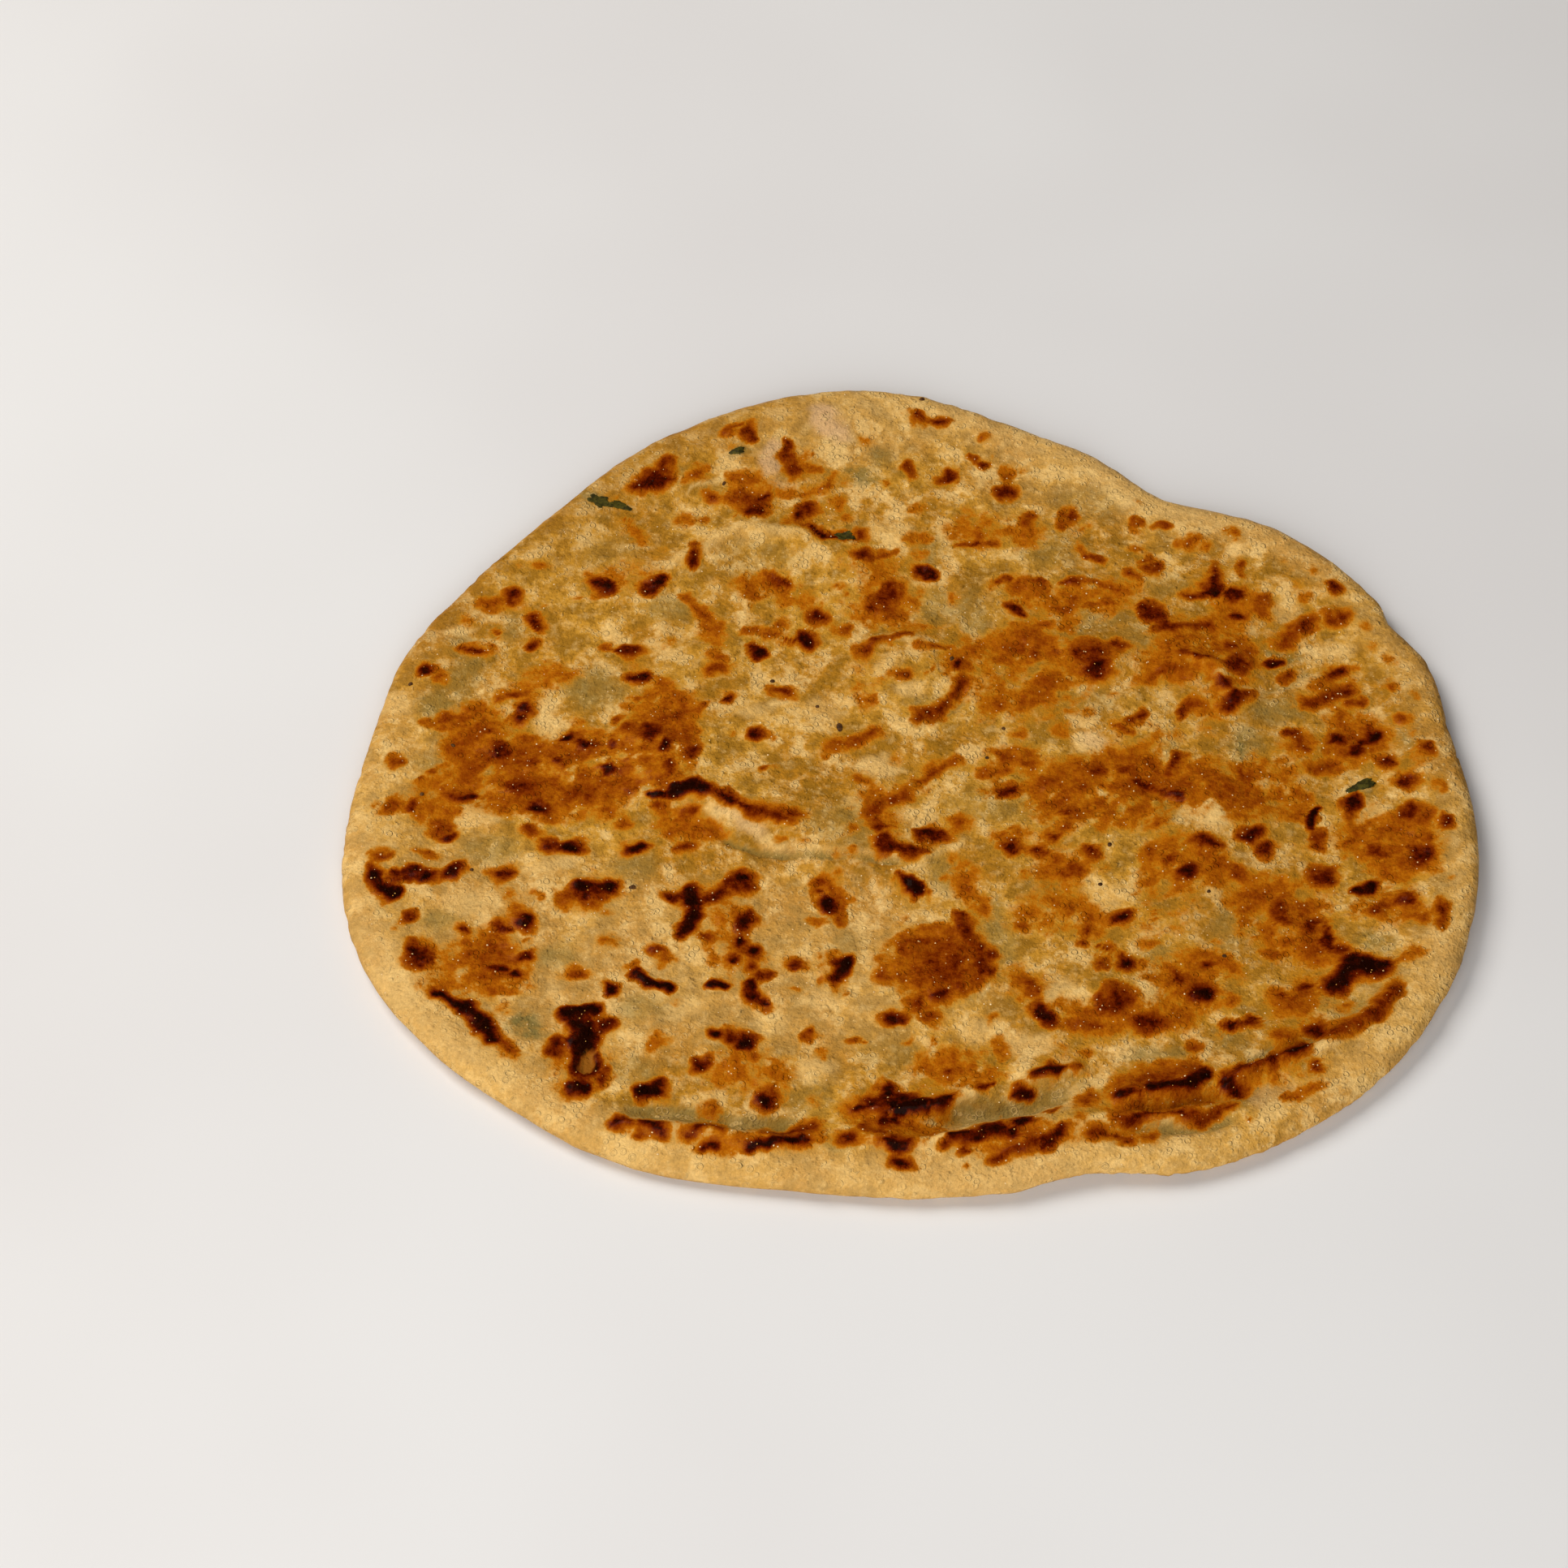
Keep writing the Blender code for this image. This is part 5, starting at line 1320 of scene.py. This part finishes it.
@dataclass(frozen=True)
class DoughFinish:
    """Fried wheat dough: cream to olive where it stayed raw, amber to black where it toasted, with some light and shade
    painted in.
    """

    cream: tuple = srgb(236, 193, 119)
    gold: tuple = srgb(202, 144, 48)
    tan: tuple = srgb(184, 122, 30)
    shade: tuple = srgb(150, 103, 27)
    olive: tuple = srgb(140, 113, 54)
    green: tuple = srgb(104, 94, 46)
    onion: tuple = srgb(212, 170, 124)
    rim: tuple = srgb(226, 181, 108)
    pale: tuple = srgb(222, 180, 110)
    deep: tuple = srgb(150, 96, 22)
    burst: tuple = srgb(146, 88, 24)
    toast: tuple = (
        (0.02, srgb(206, 146, 40)), (0.16, srgb(196, 124, 19)), (0.32, srgb(177, 97, 8)),
        (0.48, srgb(148, 69, 4)), (0.62, srgb(120, 43, 1)), (0.74, srgb(84, 17, 0)), (0.85, srgb(50, 9, 1)),
        (0.95, srgb(28, 5, 1)),
    )

    def make(self) -> bpy.types.Material:
        """Build the material.

        Returns:
            The finish of the whole skin.
        """
        bench = Bench("fried_dough")
        broad = bench.noise(15.0, 3.0)
        patch = bench.noise(5.5, 4.0, 0.6)
        mottle = bench.noise(2.2, 3.0, 0.6)
        speckle = bench.noise(0.8, 2.0, 0.6)
        dust = bench.noise(0.33, 1.0)
        colour = bench.blend(broad.risen(0.38, 0.62), self.tan, self.gold)
        colour = bench.blend(patch.risen(0.53, 0.38) * 0.85, colour, self.shade)
        colour = bench.blend(patch.risen(0.5, 0.63) * 0.7 + mottle.risen(0.47, 0.75) * 0.42, colour, self.cream)
        colour = bench.blend(bench.attribute("pale") * (0.15 + 0.5 * mottle), colour, self.pale)
        # Deeper golden dough, which at the back-left rim is painted shade.
        colour = bench.blend(bench.attribute("deep") * (0.16 + 0.66 * mottle), colour, self.deep)
        # Paler rim dough, partly painted light: bright on the near rim, none on the shaded back-left rim.
        colour = bench.blend(bench.attribute("rim") * (0.4 + 0.5 * mottle), colour, self.rim)
        colour = bench.blend(bench.attribute("cream") * 0.85, colour, self.cream)
        olive = bench.attribute("olive") * (0.35 + mottle)
        colour = bench.blend(olive, colour, self.olive)
        colour = bench.blend(bench.attribute("onion") * 0.7, colour, self.onion)
        colour = bench.blend(bench.attribute("green") * (0.2 + 0.6 * mottle.risen(0.3, 0.6)), colour, self.green)
        bubbles = bench.cells(1.7)
        rings = bubbles.risen(0.2, 0.32) * bubbles.risen(0.46, 0.34) * patch.risen(0.45, 0.6)
        # Pale specks: flour granules, partly painted glints.
        specks_and_glints = bench.cells(0.9).risen(0.2, 0.1) * mottle.risen(0.45, 0.6)
        # Small pits in the crust; darkening them below is painted shade.
        pores_and_pit_shade = bench.cells(1.3).risen(0.15, 0.07) * speckle.risen(0.56, 0.68)
        colour = bench.blend(rings * 0.5 + specks_and_glints * 0.6, colour, self.cream)
        shade = (0.573 + 0.54 * speckle + 0.32 * dust) * (1.0 - 0.24 * pores_and_pit_shade)
        grey = bench.node("ShaderNodeCombineColor", {}, {0: shade, 1: shade, 2: shade})
        colour = bench.blend(1.0, colour, grey, "MULTIPLY")
        toast = bench.attribute("toast")
        raggedness = (speckle - 0.5) * 0.3 + (mottle - 0.5) * 0.5 + (patch - 0.5) * 0.25 + (dust - 0.5) * 0.12
        ragged = toast + raggedness * toast.risen(0.0, 0.3)
        browned = bench.node("ShaderNodeValToRGB", {"stops": self.toast}, {"Fac": ragged})
        colour = bench.blend(ragged.risen(0.05, 0.3), colour, browned)
        colour = bench.blend(bench.attribute("burst"), colour, self.burst)
        wet = bench.noise(6.0, 2.0).risen(0.35, 0.65)
        grain = bench.noise(0.45, 2.0, 0.6)
        folds = bench.noise(1.7, 2.0, 0.6)
        creases = (folds - 0.5) * (folds - 0.5)
        height = 0.14 * grain + 0.34 * bench.noise(1.2, 2.0, 0.6) + 0.2 * ragged * speckle + 0.2 * rings - 0.12 * pores_and_pit_shade
        height = height + 3.8 * creases * toast.risen(0.5, 0.1)
        bench.dress(
            Base_Color=colour,
            Roughness=0.42 - 0.14 * wet - 0.1 * ragged.risen(0.1, 0.5),
            Coat_Weight=0.028 * wet,
            Coat_Roughness=0.14,
            Coat_Tint=(1.0, 0.78, 0.46, 1.0),
            Specular_IOR_Level=0.01,
            Specular_Tint=(1.0, 0.6, 0.12, 1.0),
        )
        bench.bump(height, 1.0)
        return bench.material


@dataclass(frozen=True)
class PlainFinish:
    """A finish of two close colours that drift into each other, for small pieces and the floor."""

    name: str
    dark: tuple
    light: tuple
    grain: float
    roughness: float
    coat: float = 0.0
    relief: float = 0.0

    def make(self) -> bpy.types.Material:
        """Build the material.

        Returns:
            The finish.
        """
        bench = Bench(self.name)
        drift = bench.noise(self.grain, 3.0, 0.6)
        bench.dress(
            Base_Color=bench.blend(drift.risen(0.35, 0.65), self.dark, self.light),
            Roughness=self.roughness + 0.15 * drift,
            Coat_Weight=self.coat,
            Coat_Roughness=0.08,
            Coat_Tint=(1.0, 0.78, 0.46, 1.0),
            Specular_IOR_Level=0.15,
            Specular_Tint=(1.0, 0.8, 0.5, 1.0),
        )
        if self.relief:
            bench.bump(self.relief * drift, 0.6)
        return bench.material


class StrewTree:
    """Geometry Nodes that strew small rounded bodies over a skin and turn them into mesh."""

    SOCKETS = (
        ("Follows", "NodeSocketString"), ("Per square metre", "NodeSocketFloat"), ("Smallest", "NodeSocketFloat"),
        ("Largest", "NodeSocketFloat"), ("Flatness", "NodeSocketFloat"), ("Roundness", "NodeSocketInt"),
        ("Seed", "NodeSocketInt"), ("Finish", "NodeSocketMaterial"),
    )

    def __init__(self) -> None:
        """Build the tree once; every strewn piece shares it."""
        self.tree = bpy.data.node_groups.new("strew_over_skin", "GeometryNodeTree")
        face = self.tree.interface
        face.new_socket("Geometry", in_out="INPUT", socket_type="NodeSocketGeometry")
        self.identifiers = {
            name: face.new_socket(name, in_out="INPUT", socket_type=kind).identifier for name, kind in self.SOCKETS
        }
        face.new_socket("Geometry", in_out="OUTPUT", socket_type="NodeSocketGeometry")
        given = self.tree.nodes.new("NodeGroupInput").outputs
        field = self.node("GeometryNodeInputNamedAttribute", {"data_type": "FLOAT"}, {"Name": given["Follows"]})
        density = self.node(
            "ShaderNodeMath", {"operation": "MULTIPLY"}, {0: field.outputs["Attribute"], 1: given["Per square metre"]}
        )
        points = self.node(
            "GeometryNodeDistributePointsOnFaces", {"distribute_method": "RANDOM"},
            {"Mesh": given["Geometry"], "Density": density.outputs[0], "Seed": given["Seed"]},
        )
        size = self.node(
            "FunctionNodeRandomValue", {"data_type": "FLOAT"},
            {2: given["Smallest"], 3: given["Largest"], "Seed": given["Seed"]},
        )
        stretch = self.node(
            "FunctionNodeRandomValue", {"data_type": "FLOAT_VECTOR"},
            {0: (0.7, 0.7, 0.8), 1: (1.4, 1.2, 1.0), "Seed": given["Seed"]},
        )
        flat = self.node("ShaderNodeCombineXYZ", {}, {0: 1.0, 1: 1.0, 2: given["Flatness"]})
        shape = self.node("ShaderNodeVectorMath", {"operation": "MULTIPLY"}, {0: stretch.outputs[0], 1: flat.outputs[0]})
        scale = self.node("ShaderNodeVectorMath", {"operation": "SCALE"}, {0: shape.outputs[0], "Scale": size.outputs[1]})
        spin = self.node("FunctionNodeRandomValue", {"data_type": "FLOAT"}, {2: 0.0, 3: math.tau, "Seed": given["Seed"]})
        turn = self.node("ShaderNodeCombineXYZ", {}, {2: spin.outputs[1]})
        upright = self.node(
            "FunctionNodeRotateRotation", {"rotation_space": "LOCAL"},
            {"Rotation": points.outputs["Rotation"], "Rotate By": turn.outputs[0]},
        )
        body = self.node("GeometryNodeMeshIcoSphere", {}, {"Radius": 1.0, "Subdivisions": given["Roundness"]})
        strewn = self.node(
            "GeometryNodeInstanceOnPoints", {},
            {
                "Points": points.outputs["Points"], "Instance": body.outputs["Mesh"],
                "Rotation": upright.outputs[0], "Scale": scale.outputs[0],
            },
        )
        solid = self.node("GeometryNodeRealizeInstances", {}, {"Geometry": strewn.outputs[0]})
        smooth = self.node("GeometryNodeSetShadeSmooth", {}, {"Geometry": solid.outputs[0]})
        finish = self.node(
            "GeometryNodeSetMaterial", {}, {"Geometry": smooth.outputs[0], "Material": given["Finish"]}
        )
        result = self.tree.nodes.new("NodeGroupOutput")
        self.tree.links.new(finish.outputs[0], result.inputs[0])

    def node(self, kind: str, settings: dict, inputs: dict) -> bpy.types.Node:
        """Add a node to the tree.

        Args:
            kind: The node's type.
            settings: Its properties.
            inputs: Values or output sockets by socket name or number.

        Returns:
            The node.
        """
        made = self.tree.nodes.new(kind)
        for name, value in settings.items():
            setattr(made, name, value)
        for name, value in inputs.items():
            if isinstance(value, bpy.types.NodeSocket):
                self.tree.links.new(value, made.inputs[name])
            else:
                made.inputs[name].default_value = value
        return made


@dataclass
class Strewing:
    """One kind of small body strewn over the crust."""

    name: str
    follows: str
    density: float
    smallest: float
    largest: float
    flatness: float
    roundness: int
    seed: int
    finish: bpy.types.Material

    def build(self, tree: StrewTree, skin: bpy.types.Object) -> bpy.types.Object:
        """Strew the bodies and keep them as one plain mesh.

        Args:
            tree: The shared Geometry Nodes tree.
            skin: The crust.

        Returns:
            The piece.
        """
        carrier = bpy.data.objects.new(self.name + "_carrier", skin.data)
        bpy.context.scene.collection.objects.link(carrier)
        strew = carrier.modifiers.new("strew", "NODES")
        strew.node_group = tree.tree
        values = {
            "Follows": self.follows, "Per square metre": self.density, "Smallest": self.smallest * MM,
            "Largest": self.largest * MM, "Flatness": self.flatness, "Roundness": self.roundness,
            "Seed": self.seed, "Finish": self.finish,
        }
        for name, value in values.items():
            strew[tree.identifiers[name]] = value
        evaluated = carrier.evaluated_get(bpy.context.evaluated_depsgraph_get())
        mesh = bpy.data.meshes.new_from_object(evaluated)
        mesh.name = self.name
        bpy.data.objects.remove(carrier)
        piece = bpy.data.objects.new(self.name, mesh)
        bpy.context.scene.collection.objects.link(piece)
        return piece


@dataclass
class Trimmings:
    """Leaves and seeds, placed one by one on the crust."""

    crust: bpy.types.Object
    leaf_thickness: float = 0.18 * MM
    leaf_rings: int = 5
    leaf_sectors: int = 30

    def __post_init__(self) -> None:
        """Get ready to feel the crust's height."""
        skin = bmesh.new()
        skin.from_mesh(self.crust.data)
        self.tree = BVHTree.FromBMesh(skin)
        skin.free()

    def height(self, x: float, y: float) -> float:
        """Height of the crust at a place.

        Args:
            x: Across, in metres.
            y: Up, in metres.

        Returns:
            The height in metres.
        """
        hit = self.tree.ray_cast(Vector((x, y, 0.1)), Vector((0.0, 0.0, -1.0)))[0]
        return hit.z if hit else 0.0

    def leaves(self, finish: bpy.types.Material) -> bpy.types.Object:
        """Make the coriander bits: thin lobed scraps that cling to the crust and curl at their edges.

        Args:
            finish: Their material.

        Returns:
            One piece with every leaf bit.
        """
        made = bmesh.new()
        for number, (x, y, length, width, turn, lobes) in enumerate(LEAVES):
            angle = math.radians(turn)
            sides = []
            for lift in (0.0, self.leaf_thickness):
                rings = []
                for ring in range(1, self.leaf_rings + 1):
                    share = ring / self.leaf_rings
                    loop = []
                    for sector in range(self.leaf_sectors):
                        around = math.tau * sector / self.leaf_sectors
                        notch = 1.0 + 0.22 * math.cos(lobes * around + number) + 0.08 * math.cos(11 * around)
                        along = length * share * notch * math.cos(around)
                        across = width * share * notch * math.sin(around)
                        place_x = (x + DISC_MIDDLE[0] + along * math.cos(angle) - across * math.sin(angle)) * MM
                        place_y = (y + DISC_MIDDLE[1] + along * math.sin(angle) + across * math.cos(angle)) * MM
                        curl = 0.16 * MM * share**2 * math.sin(2 * around + number)
                        level = self.height(place_x, place_y) + max(curl, -0.05 * MM) + lift * (1.0 - 0.6 * share)
                        loop.append(made.verts.new((place_x, place_y, level)))
                    rings.append(loop)
                centre_x, centre_y = (x + DISC_MIDDLE[0]) * MM, (y + DISC_MIDDLE[1]) * MM
                hub = made.verts.new((centre_x, centre_y, self.height(centre_x, centre_y) + lift))
                sides.append((hub, rings))
            self.close_leaf(made, sides)
        bmesh.ops.recalc_face_normals(made, faces=made.faces)
        return self.piece("coriander_bits", made, finish)

    def close_leaf(self, made: bmesh.types.BMesh, sides: list) -> None:
        """Join a leaf's underside, upper side and edge.

        Args:
            made: The mesh under construction.
            sides: The middle point and the rings of the underside, then of the upper side.
        """
        for hub, rings in sides:
            for sector in range(self.leaf_sectors):
                after = (sector + 1) % self.leaf_sectors
                made.faces.new((hub, rings[0][sector], rings[0][after]))
                for inner, outer in zip(rings, rings[1:]):
                    made.faces.new((inner[sector], outer[sector], outer[after], inner[after]))
        under, upper = sides[0][1][-1], sides[1][1][-1]
        for sector in range(self.leaf_sectors):
            after = (sector + 1) % self.leaf_sectors
            made.faces.new((under[sector], upper[sector], upper[after], under[after]))

    def seeds(self, finish: bpy.types.Material) -> bpy.types.Object:
        """Make the spice seeds: small ovals sunk to half their depth.

        Args:
            finish: Their material.

        Returns:
            One piece with every seed.
        """
        made = bmesh.new()
        for x, y, length, width, turn in SEEDS:
            angle = math.radians(turn)
            centre_x, centre_y = (x + DISC_MIDDLE[0]) * MM, (y + DISC_MIDDLE[1]) * MM
            level = self.height(centre_x, centre_y)
            seed = bmesh.ops.create_icosphere(made, subdivisions=3, radius=1.0)["verts"]
            for point in seed:
                along, across, lift = point.co * MM
                along *= length * (1.0 - 0.15 * point.co.x)
                across *= width
                point.co = Vector((
                    centre_x + along * math.cos(angle) - across * math.sin(angle),
                    centre_y + along * math.sin(angle) + across * math.cos(angle),
                    level + lift * width * 0.6,
                ))
        return self.piece("spice_seeds", made, finish)

    @staticmethod
    def piece(name: str, made: bmesh.types.BMesh, finish: bpy.types.Material) -> bpy.types.Object:
        """Turn a finished mesh into a linked, smooth object.

        Args:
            name: The piece's name.
            made: The mesh.
            finish: Its material.

        Returns:
            The object.
        """
        mesh = bpy.data.meshes.new(name)
        made.to_mesh(mesh)
        made.free()
        mesh.shade_smooth()
        mesh.materials.append(finish)
        made_object = bpy.data.objects.new(name, mesh)
        bpy.context.scene.collection.objects.link(made_object)
        return made_object


@dataclass
class Studio:
    """Plain pale floor, soft light from the back left and a camera that looks down on the bread."""

    elevation: float = 52.0
    distance: float = 0.80
    lens: float = 95.6
    target: tuple = (-23.8, -2.5, 0.0)
    floor_size: float = 3.0
    key_energy: float = 13.6
    fill_energy: float = 10.6
    world_strength: float = 0.10

    def camera(self) -> None:
        """Place the camera at the angle that the bread is looked at from."""
        data = bpy.data.cameras.new("camera")
        data.lens = self.lens
        data.sensor_width = 36.0
        data.clip_start = 0.01
        camera = bpy.data.objects.new("camera", data)
        angle = math.radians(self.elevation)
        back = Vector((0.0, -math.cos(angle), math.sin(angle)))
        camera.location = Vector(self.target) * MM + back * self.distance
        camera.rotation_euler = (-back).to_track_quat("-Z", "Y").to_euler()
        bpy.context.scene.collection.objects.link(camera)
        bpy.context.scene.camera = camera

    def lamp(self, name: str, place: tuple, size: float, energy: float, colour: tuple) -> None:
        """Add one soft square light that shines at the bread.

        Args:
            name: The light's name.
            place: Where it hangs, in metres.
            size: Length of its side.
            energy: Its power in watts.
            colour: Its colour.
        """
        data = bpy.data.lights.new(name, "AREA")
        data.size = size
        data.energy = energy
        data.color = colour
        lamp = bpy.data.objects.new(name, data)
        lamp.location = place
        lamp.rotation_euler = (-Vector(place)).to_track_quat("-Z", "Y").to_euler()
        bpy.context.scene.collection.objects.link(lamp)

    def floor(self) -> None:
        """Lay the pale floor just under the bread."""
        made = bmesh.new()
        bmesh.ops.create_grid(made, x_segments=1, y_segments=1, size=self.floor_size)
        bmesh.ops.translate(made, verts=made.verts, vec=Vector((0.0, 0.0, -0.05 * MM)))
        finish = PlainFinish("pale_floor", srgb(226, 222, 219), srgb(232, 229, 226), 260.0, 0.45)
        Trimmings.piece("floor", made, finish.make())

    def build(self) -> None:
        """Set up the camera, the floor, the lights and the world."""
        self.camera()
        self.floor()
        self.lamp("key", (-0.72, 0.42, 1.02), 0.8, self.key_energy, (1.0, 0.985, 0.96))
        self.lamp("fill", (-0.1, -1.0, 0.6), 0.9, self.fill_energy, (0.97, 0.985, 1.0))
        world = bpy.data.worlds.new("pale_world")
        world.use_nodes = True
        world.node_tree.nodes["Background"].inputs["Color"].default_value = srgb(226, 228, 232)
        world.node_tree.nodes["Background"].inputs["Strength"].default_value = self.world_strength
        bpy.context.scene.world = world
        bpy.context.scene.view_settings.view_transform = "Standard"


@dataclass
class Paratha:
    """The whole bread: its skin and everything on it."""

    body: str = "root"

    def strewings(self) -> list[Strewing]:
        """List what is strewn over the crust.

        Returns:
            One entry for each kind of small body.
        """
        ghee = PlainFinish("ghee", srgb(196, 132, 50), srgb(226, 178, 96), 3.0, 0.1, 0.35)
        # Flour grit: pale specks on the raw dough that also stand in for tiny glints.
        flour = PlainFinish("flour_grit", srgb(222, 182, 120), srgb(250, 222, 170), 2.0, 0.4, 0.2)
        char = PlainFinish("char_flakes", srgb(30, 8, 2), srgb(62, 20, 4), 1.0, 0.3, 0.15)
        return [
            Strewing("ghee_beads", "wet", 70000.0, 0.05, 0.14, 0.55, 2, 5, ghee.make()),
            Strewing("flour_grit", "raw", 60000.0, 0.09, 0.20, 0.7, 1, 9, flour.make()),
            Strewing("char_flakes", "black", 130000.0, 0.10, 0.30, 0.6, 1, 14, char.make()),
        ]

    def mark_strewn(self, skin: bpy.types.Object) -> None:
        """Add the fields that say where each kind of small body lies.

        Args:
            skin: The crust.
        """
        count = len(skin.data.vertices)
        fields = {}
        for name in ("toast", "above", "cream"):
            values = np.zeros(count, dtype=np.float32)
            skin.data.attributes[name].data.foreach_get("value", values)
            fields[name] = values
        above = rise(fields["above"], 0.2, 0.8)
        made = {
            "wet": above * (0.25 + 0.75 * rise(fields["toast"], 0.3, 0.7)),
            "raw": above * rise(fields["toast"], 0.95, 0.6) * (0.35 + 0.65 * rise(fields["toast"], 0.1, 0.35)),
            "black": above * rise(fields["toast"], 0.82, 0.95),
        }
        for name, values in made.items():
            layer = skin.data.attributes.new(name, "FLOAT", "POINT")
            layer.data.foreach_set("value", values.astype(np.float32))

    def build(self) -> None:
        """Make every piece and put it on the body."""
        skin = Crust().build()
        skin.data.materials.append(DoughFinish().make())
        self.mark_strewn(skin)
        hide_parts(NODE)
        trimmings = Trimmings(skin)
        herb = PlainFinish("coriander", srgb(40, 36, 10), srgb(78, 70, 20), 0.9, 0.5, 0.0, 0.15)
        spice = PlainFinish("nigella", srgb(54, 32, 14), srgb(98, 62, 30), 0.8, 0.5, 0.0, 0.1)
        pieces = [skin, trimmings.leaves(herb.make()), trimmings.seeds(spice.make())]
        tree = StrewTree()
        pieces += [strewing.build(tree, skin) for strewing in self.strewings()]
        for piece in pieces:
            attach(piece, self.body)
            LOG.info("%s: %d faces", piece.name, len(piece.data.polygons))


def main() -> None:
    """Build the studio and the bread."""
    logging.basicConfig(level=logging.INFO)
    Studio().build()
    Paratha().build()


if __name__ == "__main__":
    main()
